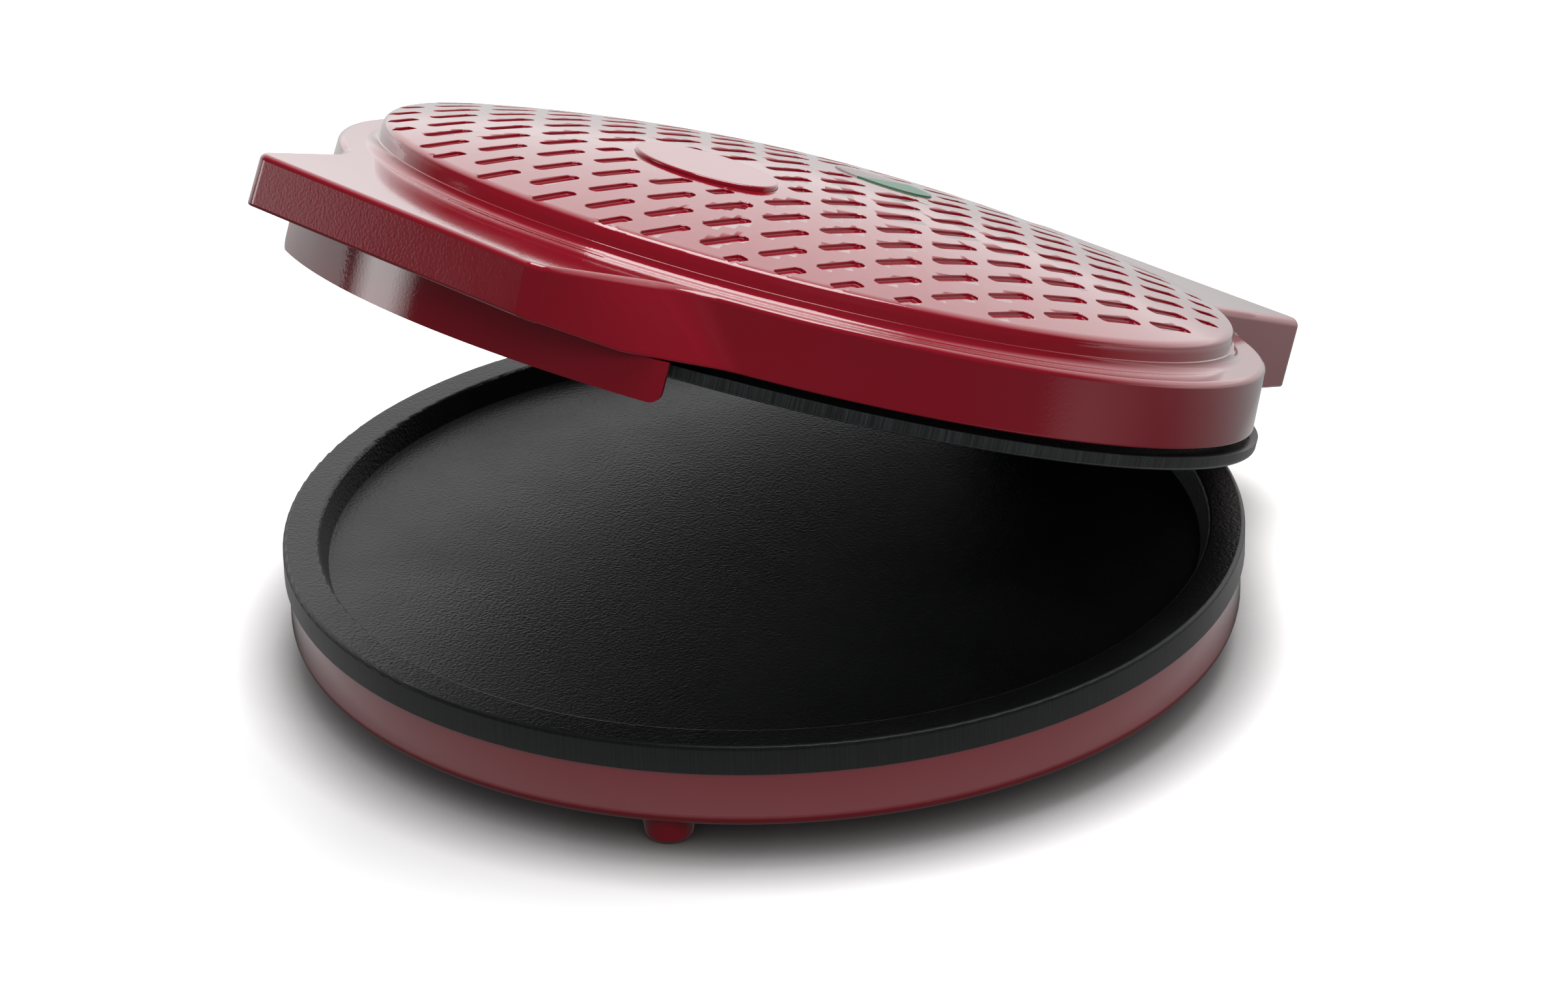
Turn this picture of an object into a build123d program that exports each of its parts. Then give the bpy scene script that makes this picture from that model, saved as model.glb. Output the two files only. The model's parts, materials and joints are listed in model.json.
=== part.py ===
"""Round electric pizza oven: two cast plates in a clamshell that is hinged at the back."""

import os
from math import cos, radians, sin, sqrt, tan

from build123d import *

os.makedirs("parts", exist_ok=True)

# Driving dimensions in millimetres. X runs along the hinge, the handle is at -Y and +Z is up.
# Every piece is drawn about the middle of the plates with the lid closed, and is put at its
# place, with the lid's pieces turned open about the hinge, where it is written. Radii and reaches
# follow from the plates, so that a change of the plates carries the housing and the lid along.

# Hinge
LID_OPEN = 21.85
HINGE_BACK = 15.1
HINGE_RISE = 2.5
PIN_R = 3.0
PIN_FIT = 0.05
PIN_HEAD_R = 4.5
PIN_HEAD_T = 1.8
PIN_END = 0.5
EAR_INNER_X = 34.0
EAR_T = 7.0
EAR_R = 8.0
KNUCKLE_GAP = 3.0
KNUCKLE_T = 6.0
KNUCKLE_R = 7.0

# Plates
PLATE_R = 162.0
RIM_W = 12.0
PLATE_DEPTH = 8.0
PLATE_T = 4.0
PARTING_Z = 41.2
PARTING_GAP = 0.3
RIM_ROUND = 1.4
RIM_WALL = 3.0
FLOOR_DRAFT = 3.0
LOWER_RIM_H = 9.8
UPPER_RIM_H = 4.2

# Base housing
RIM_OVERHANG = 1.4
HOUSING_BOTTOM = 10.8
HOUSING_CORNER = 5.0
WALL = 2.5
BRACKET_DEPTH = 14.0
BRACKET_HALF = 49.0
BRACKET_SUNK = 1.5
FOOT_INSET = 16.1
FOOT_ANGLE = 56.74
FOOT_TOP_R = 9.0
FOOT_R = 7.6
FOOT_ROUND = 1.6
PAD_R = 4.6
PAD_PROUD = 0.5
PAD_SUNK = 2.0
SEAT_FIT = 0.05

# Lid cover
SKIRT_GAP = 2.2
SKIRT_INSET = 2.3
SKIRT_H = 21.8
SKIRT_DRAFT = 1.2
LEDGE_W = 8.5
LEDGE_ROUND = 2.0
STEP_FOOT_W = 3.4
STEP_LINE_H = 3.2
STEP_W = 0.5
STEP_DRAFT = 0.7
SHOULDER_H = 6.9
SHOULDER_W = 3.0
SHOULDER_BULGE = 1.1
DOME_H = 25.0
DOME_RISE = 15.38
HANDLE_REACH = 28.3
HANDLE_HALF = 66.0
HANDLE_CORNER = 7.0
HANDLE_FLANK_TOP = 12.4
HANDLE_FLANK_BOTTOM = 25.0
HANDLE_ROOT_TOP = 30.0
HANDLE_ROOT_BOTTOM = 28.0
HANDLE_EDGE_RISE = 4.7
HANDLE_EDGE_INSET = 2.0
BLOCK_REACH = 34.0
BLOCK_HALF = 61.7
BLOCK_FLANK = 14.2
BLOCK_CORNER = 5.0
BLOCK_ROOT = 18.0
BLOCK_H = 2.7
BLOCK_SUNK = 0.67
BLOCK_ROUND = 3.0
BLOCK_BURIED = 3.0

# Slots in the dome, in staggered columns
SLOT_PITCH_X = 12.92
SLOT_PITCH_Y = 26.67
SLOT_L = 20.0
SLOT_W = 4.5
SLOT_DEPTH = 1.5
SLOT_CHAMFER = 1.4
SLOT_SHORTEST = 4.4
SLOT_FIELD_INSET = 1.4
SLOT_FIELD_Y = -3.5
SLOT_MARGIN = 3.6

# Badge and indicator window
BADGE_Y = -56.0
BADGE_A = 28.0
BADGE_B = 18.0
BADGE_PROUD = 1.1
BADGE_SUNK = 1.2
BADGE_ROUND = 0.8
LENS_Y = 31.0
LENS_A = 19.0
LENS_B = 13.5
LENS_PROUD = 0.3
LENS_SUNK = 1.3
LENS_SEAT = 1.5
LENS_SPLIT = 0.1

# Guard under the handle
GUARD_REACH = 10.0
GUARD_T = 2.0
GUARD_DROP = 7.3
GUARD_HALF_ANGLE = 31.0
GUARD_WEB_HALF_ANGLE = 24.0
GUARD_CORNER = 4.0
GUARD_PLATE_RISE = 5.7
GUARD_PLATE_T = 1.8
GUARD_PLATE_HALF = 78.0
GUARD_PLATE_INSET = 24.0
GUARD_PLATE_GAP = 5.0
GUARD_FLANK = 19.5
GUARD_CLEAR = 0.3

# Heater, clamps and screws
ELEMENT_R = 95.0
TUBE_R = 3.3
TUBE_FIT = 0.1
SEAT_W = 11.0
SEAT_H = 3.2
LEG_ANGLE = 14.0
LEG_BEND = 10.0
LEG_L = 28.0
COLD_PIN_R = 1.6
COLD_PIN_L = 8.0
LEG_CLEAR = 30.0
CLAMP_COUNT = 3
CLAMP_L = 30.0
CLAMP_W = 12.0
CLAMP_T = 1.2
CLAMP_SCREW_INSET = 15.0
SCREW_R = 1.9
SCREW_FIT = 0.1
SCREW_HEAD_R = 3.8
SCREW_HEAD_H = 2.4
BOSS_R = 5.0
BOSS_L = 4.0
SCREW_SKIN = 1.5
PLATE_SCREW_L = 12.0
COVER_SCREW_L = 11.0
TOWER_R = 7.0
PLATE_SCREW_OUTSET = 17.0
PLATE_SCREW_COUNT = 4

# Pans
REFLECTOR_W = 13.0
REFLECTOR_Z = 17.0
REFLECTOR_RIM = 5.0
REFLECTOR_FIT = 0.3
SHEET_T = 0.8
CARRIER_H = 23.0
CARRIER_FLANGE_RISE = 8.1
CARRIER_FLANGE_W = 9.5
CARRIER_GAP = 1.7
TAB_HALF_FRONT = 48.0
TAB_FRONT_GAP = 7.3
TAB_HALF_BACK = 28.0
TAB_BACK_GAP = 28.0
HANDLE_SCREW_X = 38.0
HANDLE_SCREW_INSET = 14.3
CARRIER_SCREW_X = 18.0
CARRIER_SCREW_INSET = 34.0

# Controls
STAT_R = 8.0
STAT_CAP_R = 6.5
STAT_CAP_H = 2.4
STAT_H = 7.0
STAT_FLANGE_R = 11.0
STAT_FLANGE_T = 1.0
FUSE_X = 40.0
FUSE_R = 2.2
FUSE_L = 12.0
FUSE_LEAD_R = 0.55
FUSE_LEAD_L = 24.0
TERMINAL_L = 32.0
TERMINAL_W = 14.0
TERMINAL_H = 10.0
TERMINAL_SEAT = 2.0
TERMINAL_INSET = 30.0
TERMINAL_HOLE_R = 1.8
TERMINAL_HOLE_PITCH = 10.7
TERMINAL_HOLES = 3
INLET_X = 22.0
INLET_Z = 21.5
INLET_HOLE_R = 6.0
INLET_BORE_R = 3.6
INLET_FLANGE_R = 7.5
INLET_FLANGE_T = 1.2
INLET_LIP_R = 6.8
INLET_LIP_T = 2.0
LAMP_R = 3.0
LAMP_L = 12.0
LAMP_X = 8.5
HOLDER_RIM = 2.0
HOLDER_GAP = 0.7
HOLDER_DEPTH = 8.0
HOLDER_T = 1.5
SNUG = 0.1

# Places that follow: plates and base
hinge_y = PLATE_R + HINGE_BACK
hinge_z = PARTING_Z + HINGE_RISE
floor_r = PLATE_R - RIM_W
upper_face = PARTING_Z + PARTING_GAP
back_depth = PLATE_DEPTH + PLATE_T
housing_r = PLATE_R - RIM_OVERHANG
housing_top = PARTING_Z - LOWER_RIM_H
housing_floor = HOUSING_BOTTOM + WALL
bracket_back = PLATE_R + BRACKET_DEPTH
bracket_foot = (housing_r - BRACKET_SUNK) / sqrt(2)
foot_x = (PLATE_R - FOOT_INSET) * cos(radians(FOOT_ANGLE))
foot_y = (PLATE_R - FOOT_INSET) * sin(radians(FOOT_ANGLE))
terminal_y = bracket_back - TERMINAL_INSET

# Places that follow: lid cover
skirt_bottom = upper_face + UPPER_RIM_H + SKIRT_GAP
skirt_bottom_r = PLATE_R - SKIRT_INSET
ledge_z = skirt_bottom + SKIRT_H
ledge_r = skirt_bottom_r - SKIRT_DRAFT
cover_inner_top = ledge_z - WALL
step_foot_r = ledge_r - LEDGE_W
step_line_r = step_foot_r - STEP_FOOT_W
step_line_z = ledge_z + STEP_LINE_H
shoulder_r = step_line_r - STEP_W - STEP_DRAFT
shoulder_z = ledge_z + SHOULDER_H
dome_r = shoulder_r - SHOULDER_W
dome_top = ledge_z + DOME_H
dome_sphere_r = (dome_r**2 + DOME_RISE**2) / (2 * DOME_RISE)
slot_field_r = dome_r - SLOT_FIELD_INSET
handle_y = -PLATE_R - HANDLE_REACH
handle_edge_y = HANDLE_EDGE_INSET - PLATE_R
handle_edge_z = skirt_bottom + HANDLE_EDGE_RISE
block_y = PLATE_R + BLOCK_REACH
block_top_z = ledge_z + BLOCK_H
block_lean = radians(BLOCK_FLANK)
block_away = BLOCK_HALF * cos(block_lean) + block_y * sin(block_lean)
block_end_r = dome_r - BLOCK_BURIED
block_end_y = block_away * sin(block_lean) + sqrt(block_end_r**2 - block_away**2) * cos(block_lean)
block_end_z = dome_top - dome_sphere_r + sqrt(dome_sphere_r**2 - block_end_r**2) - BLOCK_SUNK
block_rise = (block_end_z - block_top_z) / (block_y - block_end_y)

# Places that follow: guard, heater and pans
guard_r = PLATE_R + GUARD_REACH
guard_bottom = upper_face - GUARD_DROP
guard_plate_z = skirt_bottom + GUARD_PLATE_RISE
guard_plate_back = GUARD_PLATE_INSET - PLATE_R
guard_plate_r = PLATE_R - GUARD_PLATE_GAP
tube_depth = back_depth + TUBE_R + TUBE_FIT
strap_depth = tube_depth + TUBE_R + TUBE_FIT
tower_top = PARTING_Z - back_depth - BOSS_L
screw_hole_r = SCREW_R + SCREW_FIT
clamp_screw_r = ELEMENT_R - CLAMP_SCREW_INSET
plate_screw_r = ELEMENT_R + PLATE_SCREW_OUTSET
reflector_r = plate_screw_r + REFLECTOR_W
carrier_top = upper_face + CARRIER_H
carrier_flange_z = skirt_bottom + CARRIER_FLANGE_RISE
carrier_seat = carrier_flange_z + SHEET_T
carrier_r = skirt_bottom_r - WALL - CARRIER_GAP
carrier_wall_r = carrier_r - CARRIER_FLANGE_W
tab_front_y = handle_y + TAB_FRONT_GAP
tab_back_y = block_y - TAB_BACK_GAP
handle_screw_y = handle_y + HANDLE_SCREW_INSET
carrier_screw_y = block_y - CARRIER_SCREW_INSET
knuckle_x = EAR_INNER_X + EAR_T + KNUCKLE_GAP

hinge_axis = Axis((0, hinge_y, hinge_z), (1, 0, 0))
food_down = Plane((0, 0, PARTING_Z), x_dir=(-1, 0, 0), z_dir=(0, 0, -1))
food_up = Plane((0, 0, upper_face), x_dir=(1, 0, 0), z_dir=(0, 0, 1))
AT_BASE = (Align.CENTER, Align.CENTER, Align.MIN)
AT_FRONT = (Align.CENTER, Align.MIN)
AT_BACK = (Align.CENTER, Align.MAX)

# The lid's rearmost point when open is the rounded back edge of the hinge block
edge_y = block_y - BLOCK_ROUND - hinge_y
edge_z = block_top_z - BLOCK_ROUND - hinge_z
opened = radians(LID_OPEN)
rear_reach = hinge_y + edge_y * cos(opened) + edge_z * sin(opened) + BLOCK_ROUND
centre_shift = (PLATE_R - rear_reach) / 2


def save(piece, node, on_lid=False):
    """Turn a lid piece open, put it in the part's frame, and write it under its node name."""
    solid = piece.rotate(hinge_axis, -LID_OPEN) if on_lid else piece
    solid = solid.moved(Location((0, centre_shift, 0)))
    solid.label = node
    export_step(solid, f"parts/{node}.step")


def dome_z(x, y):
    """Height of the dome's outer surface above a point."""
    return dome_top - dome_sphere_r + sqrt(dome_sphere_r**2 - x * x - y * y)


def dome_plane(x, y, above=0.0):
    """Plane that touches the dome over a point, raised along its normal."""
    normal = Vector(x, y, dome_z(x, y) - dome_top + dome_sphere_r).normalized()
    origin = Vector(x, y, dome_z(x, y)) + normal * above
    return Plane(origin, x_dir=Vector(1, 0, -normal.X / normal.Z), z_dir=normal)


def side_plane(face):
    """Plane for a profile to revolve: radius along its X, depth behind the face along its Y."""
    return Plane(face.origin, x_dir=face.x_dir, z_dir=face.x_dir.cross(face.z_dir))


def lid_outline(skirt_r, flank, root):
    """Plan of the lid at one height: the round skirt with the handle and the hinge block."""
    handle_back = handle_y + skirt_r / 2
    handle_reach = HANDLE_HALF + (handle_back - handle_y) * tan(radians(flank))
    block_front = block_y - skirt_r / 2
    block_reach = BLOCK_HALF + (block_y - block_front) * tan(radians(BLOCK_FLANK))
    with BuildSketch() as plan:
        Circle(skirt_r)
        with BuildLine():
            Polyline(
                (-HANDLE_HALF, handle_y),
                (HANDLE_HALF, handle_y),
                (handle_reach, handle_back),
                (-handle_reach, handle_back),
                close=True,
            )
        make_face()
        with BuildLine():
            Polyline(
                (-BLOCK_HALF, block_y),
                (BLOCK_HALF, block_y),
                (block_reach, block_front),
                (-block_reach, block_front),
                close=True,
            )
        make_face()
        # From front to back: handle corners, handle roots, block roots, block corners
        corners = plan.vertices().filter_by(lambda v: abs(v.X) < handle_reach).sort_by(Axis.Y)
        for pair, radius in ((0, HANDLE_CORNER), (2, root), (4, BLOCK_ROOT), (6, BLOCK_CORNER)):
            fillet(corners[pair : pair + 2], radius)
    return plan.sketch


def block_outline(inset=0.0):
    """Plan of the raised hinge block, from its back to inside the step of the lid."""
    reach = BLOCK_HALF + (block_y - block_end_y) * tan(block_lean)
    with BuildSketch() as plan:
        with BuildLine():
            Polyline(
                (-BLOCK_HALF, block_y),
                (BLOCK_HALF, block_y),
                (reach, block_end_y),
                (-reach, block_end_y),
                close=True,
            )
        make_face()
        fillet(plan.vertices().sort_by(Axis.Y)[-2:], BLOCK_CORNER)
        if inset:
            offset(amount=-inset)
    return plan.sketch


def step_profile(inset=0.0):
    """Half section of the round step and the dome above it, as radius and height."""
    with BuildSketch() as section:
        with BuildLine():
            foot = (step_foot_r - inset, ledge_z - inset)
            line_low = (step_line_r - inset, step_line_z - inset)
            line_high = (step_line_r - STEP_W - inset, step_line_z - inset)
            shoulder = (shoulder_r - inset, shoulder_z - inset)
            rim = (dome_r - inset, dome_z(dome_r, 0) - inset)
            top = (0, dome_top - inset)
            Line((0, cover_inner_top - inset), (foot[0], cover_inner_top - inset))
            Line((foot[0], cover_inner_top - inset), foot)
            RadiusArc(foot, line_low, step_foot_r - step_line_r)
            Line(line_low, line_high)
            Line(line_high, shoulder)
            RadiusArc(shoulder, rim, -SHOULDER_W * SHOULDER_BULGE)
            RadiusArc(rim, top, -(dome_sphere_r - inset))
            Line(top, (0, cover_inner_top - inset))
        make_face()
    return section.sketch


def spans(x):
    """Stretches of slot along Y in the column at x, short of the field's edge, badge and window."""
    column = round(x / SLOT_PITCH_X)
    start = SLOT_FIELD_Y + (0 if column % 2 else SLOT_PITCH_Y / 2)
    reach = sqrt(slot_field_r**2 - x * x)
    blocked = []
    for middle, half_x, half_y in ((BADGE_Y, BADGE_A, BADGE_B), (LENS_Y, LENS_A, LENS_B)):
        wide, deep = half_x + SLOT_MARGIN + SLOT_W / 2, half_y + SLOT_MARGIN
        if abs(x) < wide:
            half = deep * sqrt(1 - (x / wide) ** 2)
            blocked.append((middle - half, middle + half))
    count = int(slot_field_r // SLOT_PITCH_Y) + 1
    for row in range(-count, count + 1):
        middle = start + row * SLOT_PITCH_Y
        low_end = max(middle - SLOT_L / 2, SLOT_FIELD_Y - reach)
        high_end = min(middle + SLOT_L / 2, SLOT_FIELD_Y + reach)
        pieces = [(low_end, high_end)]
        for low, high in blocked:
            pieces = [cut for a, b in pieces for cut in ((a, min(b, low)), (max(a, high), b))]
        for a, b in pieces:
            if b - a >= SLOT_SHORTEST:
                yield a, b


def slots():
    """Middle and length of every slot in the dome."""
    columns = int(slot_field_r // SLOT_PITCH_X)
    for column in range(-columns, columns + 1):
        x = column * SLOT_PITCH_X
        for low, high in spans(x):
            yield x, (low + high) / 2, high - low


def plate_places():
    """The screw places between each plate and what carries it."""
    return PolarLocations(plate_screw_r, PLATE_SCREW_COUNT, start_angle=180 / PLATE_SCREW_COUNT)


def clamp_places():
    """The screw places of the heater's straps, none of them at its cold ends."""
    return PolarLocations(clamp_screw_r, CLAMP_COUNT, start_angle=-90)


def two_places(x, y):
    """A place and its mirror image across the middle of the part."""
    return [Location((x, y)), Location((-x, y))]


with BuildPart() as base_housing:
    with BuildSketch(Plane.XY.offset(HOUSING_BOTTOM)) as housing_plan:
        Circle(housing_r)
        with BuildLine():
            Polyline(
                (bracket_foot, bracket_foot),
                (BRACKET_HALF, bracket_back),
                (-BRACKET_HALF, bracket_back),
                (-bracket_foot, bracket_foot),
                close=True,
            )
        make_face()
    extrude(amount=housing_top - HOUSING_BOTTOM)
    fillet(faces().sort_by(Axis.Z)[0].outer_wire().edges(), HOUSING_CORNER)
    with BuildSketch(Plane.XY.offset(housing_floor)):
        add(offset(housing_plan.sketch_local, amount=-WALL, mode=Mode.PRIVATE))
    extrude(amount=housing_top - housing_floor, mode=Mode.SUBTRACT)
    # Feet, each with a socket for its rubber plug
    foot_h = HOUSING_BOTTOM - PAD_PROUD
    with Locations((0, 0, PAD_PROUD)):
        with GridLocations(2 * foot_x, 2 * foot_y, 2, 2):
            Cone(FOOT_R, FOOT_TOP_R, foot_h, align=AT_BASE)
    fillet(edges().group_by(Axis.Z)[0], FOOT_ROUND)
    with Locations((0, 0, PAD_PROUD)):
        with GridLocations(2 * foot_x, 2 * foot_y, 2, 2):
            Cylinder(PAD_R + SEAT_FIT, PAD_SUNK, align=AT_BASE, mode=Mode.SUBTRACT)
    # Screw towers, stepped to carry the reflector, and the holes up through them
    with Locations((0, 0, housing_floor)):
        with plate_places():
            Cylinder(TOWER_R, REFLECTOR_Z - housing_floor, align=AT_BASE)
            Cylinder(BOSS_R, tower_top - housing_floor, align=AT_BASE)
    with Locations((0, 0, HOUSING_BOTTOM)):
        with plate_places():
            Cylinder(screw_hole_r, tower_top - HOUSING_BOTTOM, align=AT_BASE, mode=Mode.SUBTRACT)
            Cylinder(SCREW_HEAD_R + SCREW_FIT, SCREW_HEAD_H, align=AT_BASE, mode=Mode.SUBTRACT)
    # Ears of the hinge
    for side in (-1, 1):
        with BuildSketch(Plane.YZ.offset(side * (EAR_INNER_X + EAR_T / 2))):
            with Locations((hinge_y, hinge_z)):
                Circle(EAR_R)
            with BuildLine():
                Polyline(
                    (hinge_y - EAR_R, hinge_z),
                    (hinge_y - EAR_R, housing_floor),
                    (bracket_back, housing_floor),
                    (bracket_back, housing_top),
                    (hinge_y + EAR_R, hinge_z),
                    close=True,
                )
            make_face()
            with Locations((hinge_y, hinge_z)):
                Circle(PIN_R + PIN_FIT, mode=Mode.SUBTRACT)
        extrude(amount=EAR_T / 2, both=True)
    # Bolster for the terminal block, and the hole for the cord bushing
    with Locations((0, terminal_y, housing_floor)):
        Box(TERMINAL_L, TERMINAL_W, TERMINAL_SEAT, align=AT_BASE)
    with Locations(Plane((INLET_X, bracket_back, INLET_Z), z_dir=(0, -1, 0))):
        Cylinder(INLET_HOLE_R, WALL, align=AT_BASE, mode=Mode.SUBTRACT)
save(base_housing.part, "base_housing")

with BuildPart() as foot_pads:
    with GridLocations(2 * foot_x, 2 * foot_y, 2, 2):
        Cylinder(PAD_R, PAD_PROUD + PAD_SUNK, align=AT_BASE)
save(foot_pads.part, "foot_pads")

with BuildPart() as base_screws:
    with Locations((0, 0, HOUSING_BOTTOM)):
        with plate_places():
            Cylinder(SCREW_R, PARTING_Z - PLATE_DEPTH - SCREW_SKIN - HOUSING_BOTTOM, align=AT_BASE)
            Cylinder(SCREW_HEAD_R, SCREW_HEAD_H, align=AT_BASE)
save(base_screws.part, "base_screws")

halves = (
    ("lower", food_down, LOWER_RIM_H, BOSS_L, False),
    ("upper", food_up, UPPER_RIM_H, carrier_top - upper_face - back_depth, True),
)
for half, face, rim_h, boss_l, on_lid in halves:
    with BuildPart() as plate:
        with BuildSketch(side_plane(face)):
            with BuildLine():
                Polyline(
                    (0, PLATE_DEPTH),
                    (floor_r - FLOOR_DRAFT, PLATE_DEPTH),
                    (floor_r, 0),
                    (PLATE_R, 0),
                    (PLATE_R, rim_h),
                    (PLATE_R - RIM_WALL, rim_h),
                    (PLATE_R - RIM_WALL, RIM_WALL),
                    (floor_r + RIM_WALL, RIM_WALL),
                    (floor_r + RIM_WALL, back_depth),
                    (0, back_depth),
                    close=True,
                )
            make_face()
        revolve(axis=Axis.Z)
        rim_z = face.origin.Z
        rounds = edges().filter_by(GeomType.CIRCLE)
        fillet(rounds.filter_by_position(Axis.Z, rim_z - SNUG, rim_z + SNUG), RIM_ROUND)
        # Seat that holds the heater, open where its legs turn out
        with BuildSketch(side_plane(face)):
            with Locations((ELEMENT_R, back_depth + SEAT_H / 2)):
                Rectangle(SEAT_W, SEAT_H)
        revolve(axis=Axis.Z)
        with BuildSketch(face.offset(back_depth)):
            with Locations((0, ELEMENT_R)):
                Rectangle(2 * LEG_CLEAR, ELEMENT_R)
        extrude(amount=SEAT_H, mode=Mode.SUBTRACT)
        with BuildSketch(side_plane(face)):
            with Locations((ELEMENT_R, tube_depth)):
                Circle(TUBE_R + TUBE_FIT)
        revolve(axis=Axis.Z, mode=Mode.SUBTRACT)
        # Bosses for the plate's screws and for the heater's straps
        with BuildSketch(face.offset(back_depth)):
            with plate_places():
                Circle(BOSS_R)
        extrude(amount=boss_l)
        with BuildSketch(face.offset(back_depth)):
            with clamp_places():
                Circle(BOSS_R)
        extrude(amount=strap_depth - back_depth)
        with BuildSketch(face.offset(PLATE_DEPTH + SCREW_SKIN)):
            with plate_places():
                Circle(screw_hole_r)
            with clamp_places():
                Circle(screw_hole_r)
        extrude(amount=boss_l + back_depth, mode=Mode.SUBTRACT)
    save(plate.part, f"{half}_plate", on_lid)

    with BuildPart() as element:
        end = radians(90 - LEG_ANGLE)
        with BuildLine(face.offset(tube_depth)) as route:
            CenterArc((0, 0), ELEMENT_R, 90 + LEG_ANGLE, 360 - 2 * LEG_ANGLE)
            tip = (ELEMENT_R * cos(end), ELEMENT_R * sin(end))
            bend = JernArc(tip, (-sin(end), cos(end)), LEG_BEND, LEG_ANGLE - 90)
            tip_back = (-tip[0], tip[1])
            bend_back = JernArc(tip_back, (sin(end), cos(end)), LEG_BEND, 90 - LEG_ANGLE)
            PolarLine(bend @ 1, LEG_L, 90)
            PolarLine(bend_back @ 1, LEG_L, 90)
        path = route.wire()
        with BuildSketch(Plane(path @ 0, z_dir=path % 0)):
            Circle(TUBE_R)
        sweep(path=path)
        for start in (path @ 0, path @ 1):
            with BuildSketch(Plane(start, z_dir=(0, 1, 0))):
                Circle(COLD_PIN_R)
        extrude(amount=COLD_PIN_L)
    save(element.part, f"{half}_heating_element", on_lid)

    with BuildPart() as straps:
        with BuildSketch(face.offset(strap_depth)):
            with clamp_places():
                with Locations((CLAMP_L / 2 - CLAMP_W / 2, 0)):
                    Rectangle(CLAMP_L, CLAMP_W)
            with clamp_places():
                Circle(screw_hole_r, mode=Mode.SUBTRACT)
        extrude(amount=CLAMP_T)
    save(straps.part, f"{half}_element_clamps", on_lid)

    with BuildPart() as strap_screws:
        with BuildSketch(face.offset(PLATE_DEPTH + SCREW_SKIN)):
            with clamp_places():
                Circle(SCREW_R)
        extrude(amount=strap_depth + CLAMP_T - PLATE_DEPTH - SCREW_SKIN)
        with BuildSketch(face.offset(strap_depth + CLAMP_T)):
            with clamp_places():
                RegularPolygon(SCREW_HEAD_R, 6)
        extrude(amount=SCREW_HEAD_H)
    save(strap_screws.part, f"{half}_clamp_screws", on_lid)

    with BuildPart() as stat:
        depth = back_depth
        steps = ((STAT_CAP_R, STAT_CAP_H), (STAT_FLANGE_R, STAT_FLANGE_T), (STAT_R, STAT_H))
        for radius, height in steps:
            with BuildSketch(face.offset(depth)):
                Circle(radius)
            extrude(amount=height)
            depth += height
    save(stat.part, f"{half}_thermostat", on_lid)

with BuildPart() as lower_reflector:
    with BuildSketch(Plane.XZ):
        with BuildLine():
            Polyline(
                (0, REFLECTOR_Z),
                (reflector_r, REFLECTOR_Z),
                (reflector_r, REFLECTOR_Z + REFLECTOR_RIM),
                (reflector_r - SHEET_T, REFLECTOR_Z + REFLECTOR_RIM),
                (reflector_r - SHEET_T, REFLECTOR_Z + SHEET_T),
                (0, REFLECTOR_Z + SHEET_T),
                close=True,
            )
        make_face()
    revolve(axis=Axis.Z)
    with Locations((0, 0, REFLECTOR_Z)):
        with plate_places():
            Cylinder(BOSS_R + REFLECTOR_FIT, SHEET_T, align=AT_BASE, mode=Mode.SUBTRACT)
save(lower_reflector.part, "lower_reflector")

with BuildPart() as thermal_fuse:
    with Locations(Plane((FUSE_X, 0, PARTING_Z - back_depth - FUSE_R - SNUG), z_dir=(0, 1, 0))):
        Cylinder(FUSE_R, FUSE_L)
        Cylinder(FUSE_LEAD_R, FUSE_LEAD_L)
save(thermal_fuse.part, "thermal_fuse")

with BuildPart() as terminal_block:
    with Locations((0, terminal_y, housing_floor + TERMINAL_SEAT)):
        Box(TERMINAL_L, TERMINAL_W, TERMINAL_H, align=AT_BASE)
    middle_z = housing_floor + TERMINAL_SEAT + TERMINAL_H / 2
    with Locations(Plane((0, terminal_y, middle_z), z_dir=(0, 1, 0))):
        with GridLocations(TERMINAL_HOLE_PITCH, 1, TERMINAL_HOLES, 1):
            Cylinder(TERMINAL_HOLE_R, TERMINAL_W, mode=Mode.SUBTRACT)
save(terminal_block.part, "terminal_block")

with BuildPart() as cord_inlet:
    with BuildSketch(Plane((INLET_X, bracket_back, INLET_Z), x_dir=(1, 0, 0), z_dir=(0, 0, 1))):
        with BuildLine():
            Polyline(
                (INLET_BORE_R, INLET_FLANGE_T),
                (INLET_FLANGE_R, INLET_FLANGE_T),
                (INLET_FLANGE_R, 0),
                (INLET_HOLE_R - SEAT_FIT, 0),
                (INLET_HOLE_R - SEAT_FIT, -WALL),
                (INLET_LIP_R, -WALL),
                (INLET_LIP_R, -WALL - INLET_LIP_T),
                (INLET_BORE_R, -WALL - INLET_LIP_T),
                close=True,
            )
        make_face()
    revolve(axis=Axis((INLET_X, bracket_back, INLET_Z), (0, 1, 0)))
save(cord_inlet.part, "cord_inlet")

for node, side in (("hinge_pin_left", -1), ("hinge_pin_right", 1)):
    with BuildPart() as pin:
        head_x = side * (EAR_INNER_X - PIN_HEAD_T)
        pin_l = knuckle_x + KNUCKLE_T + PIN_END - EAR_INNER_X + PIN_HEAD_T
        with Locations(Plane((head_x, hinge_y, hinge_z), z_dir=(side, 0, 0))):
            Cylinder(PIN_HEAD_R, PIN_HEAD_T, align=AT_BASE)
            Cylinder(PIN_R, pin_l, align=AT_BASE)
    save(pin.part, node)

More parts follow.
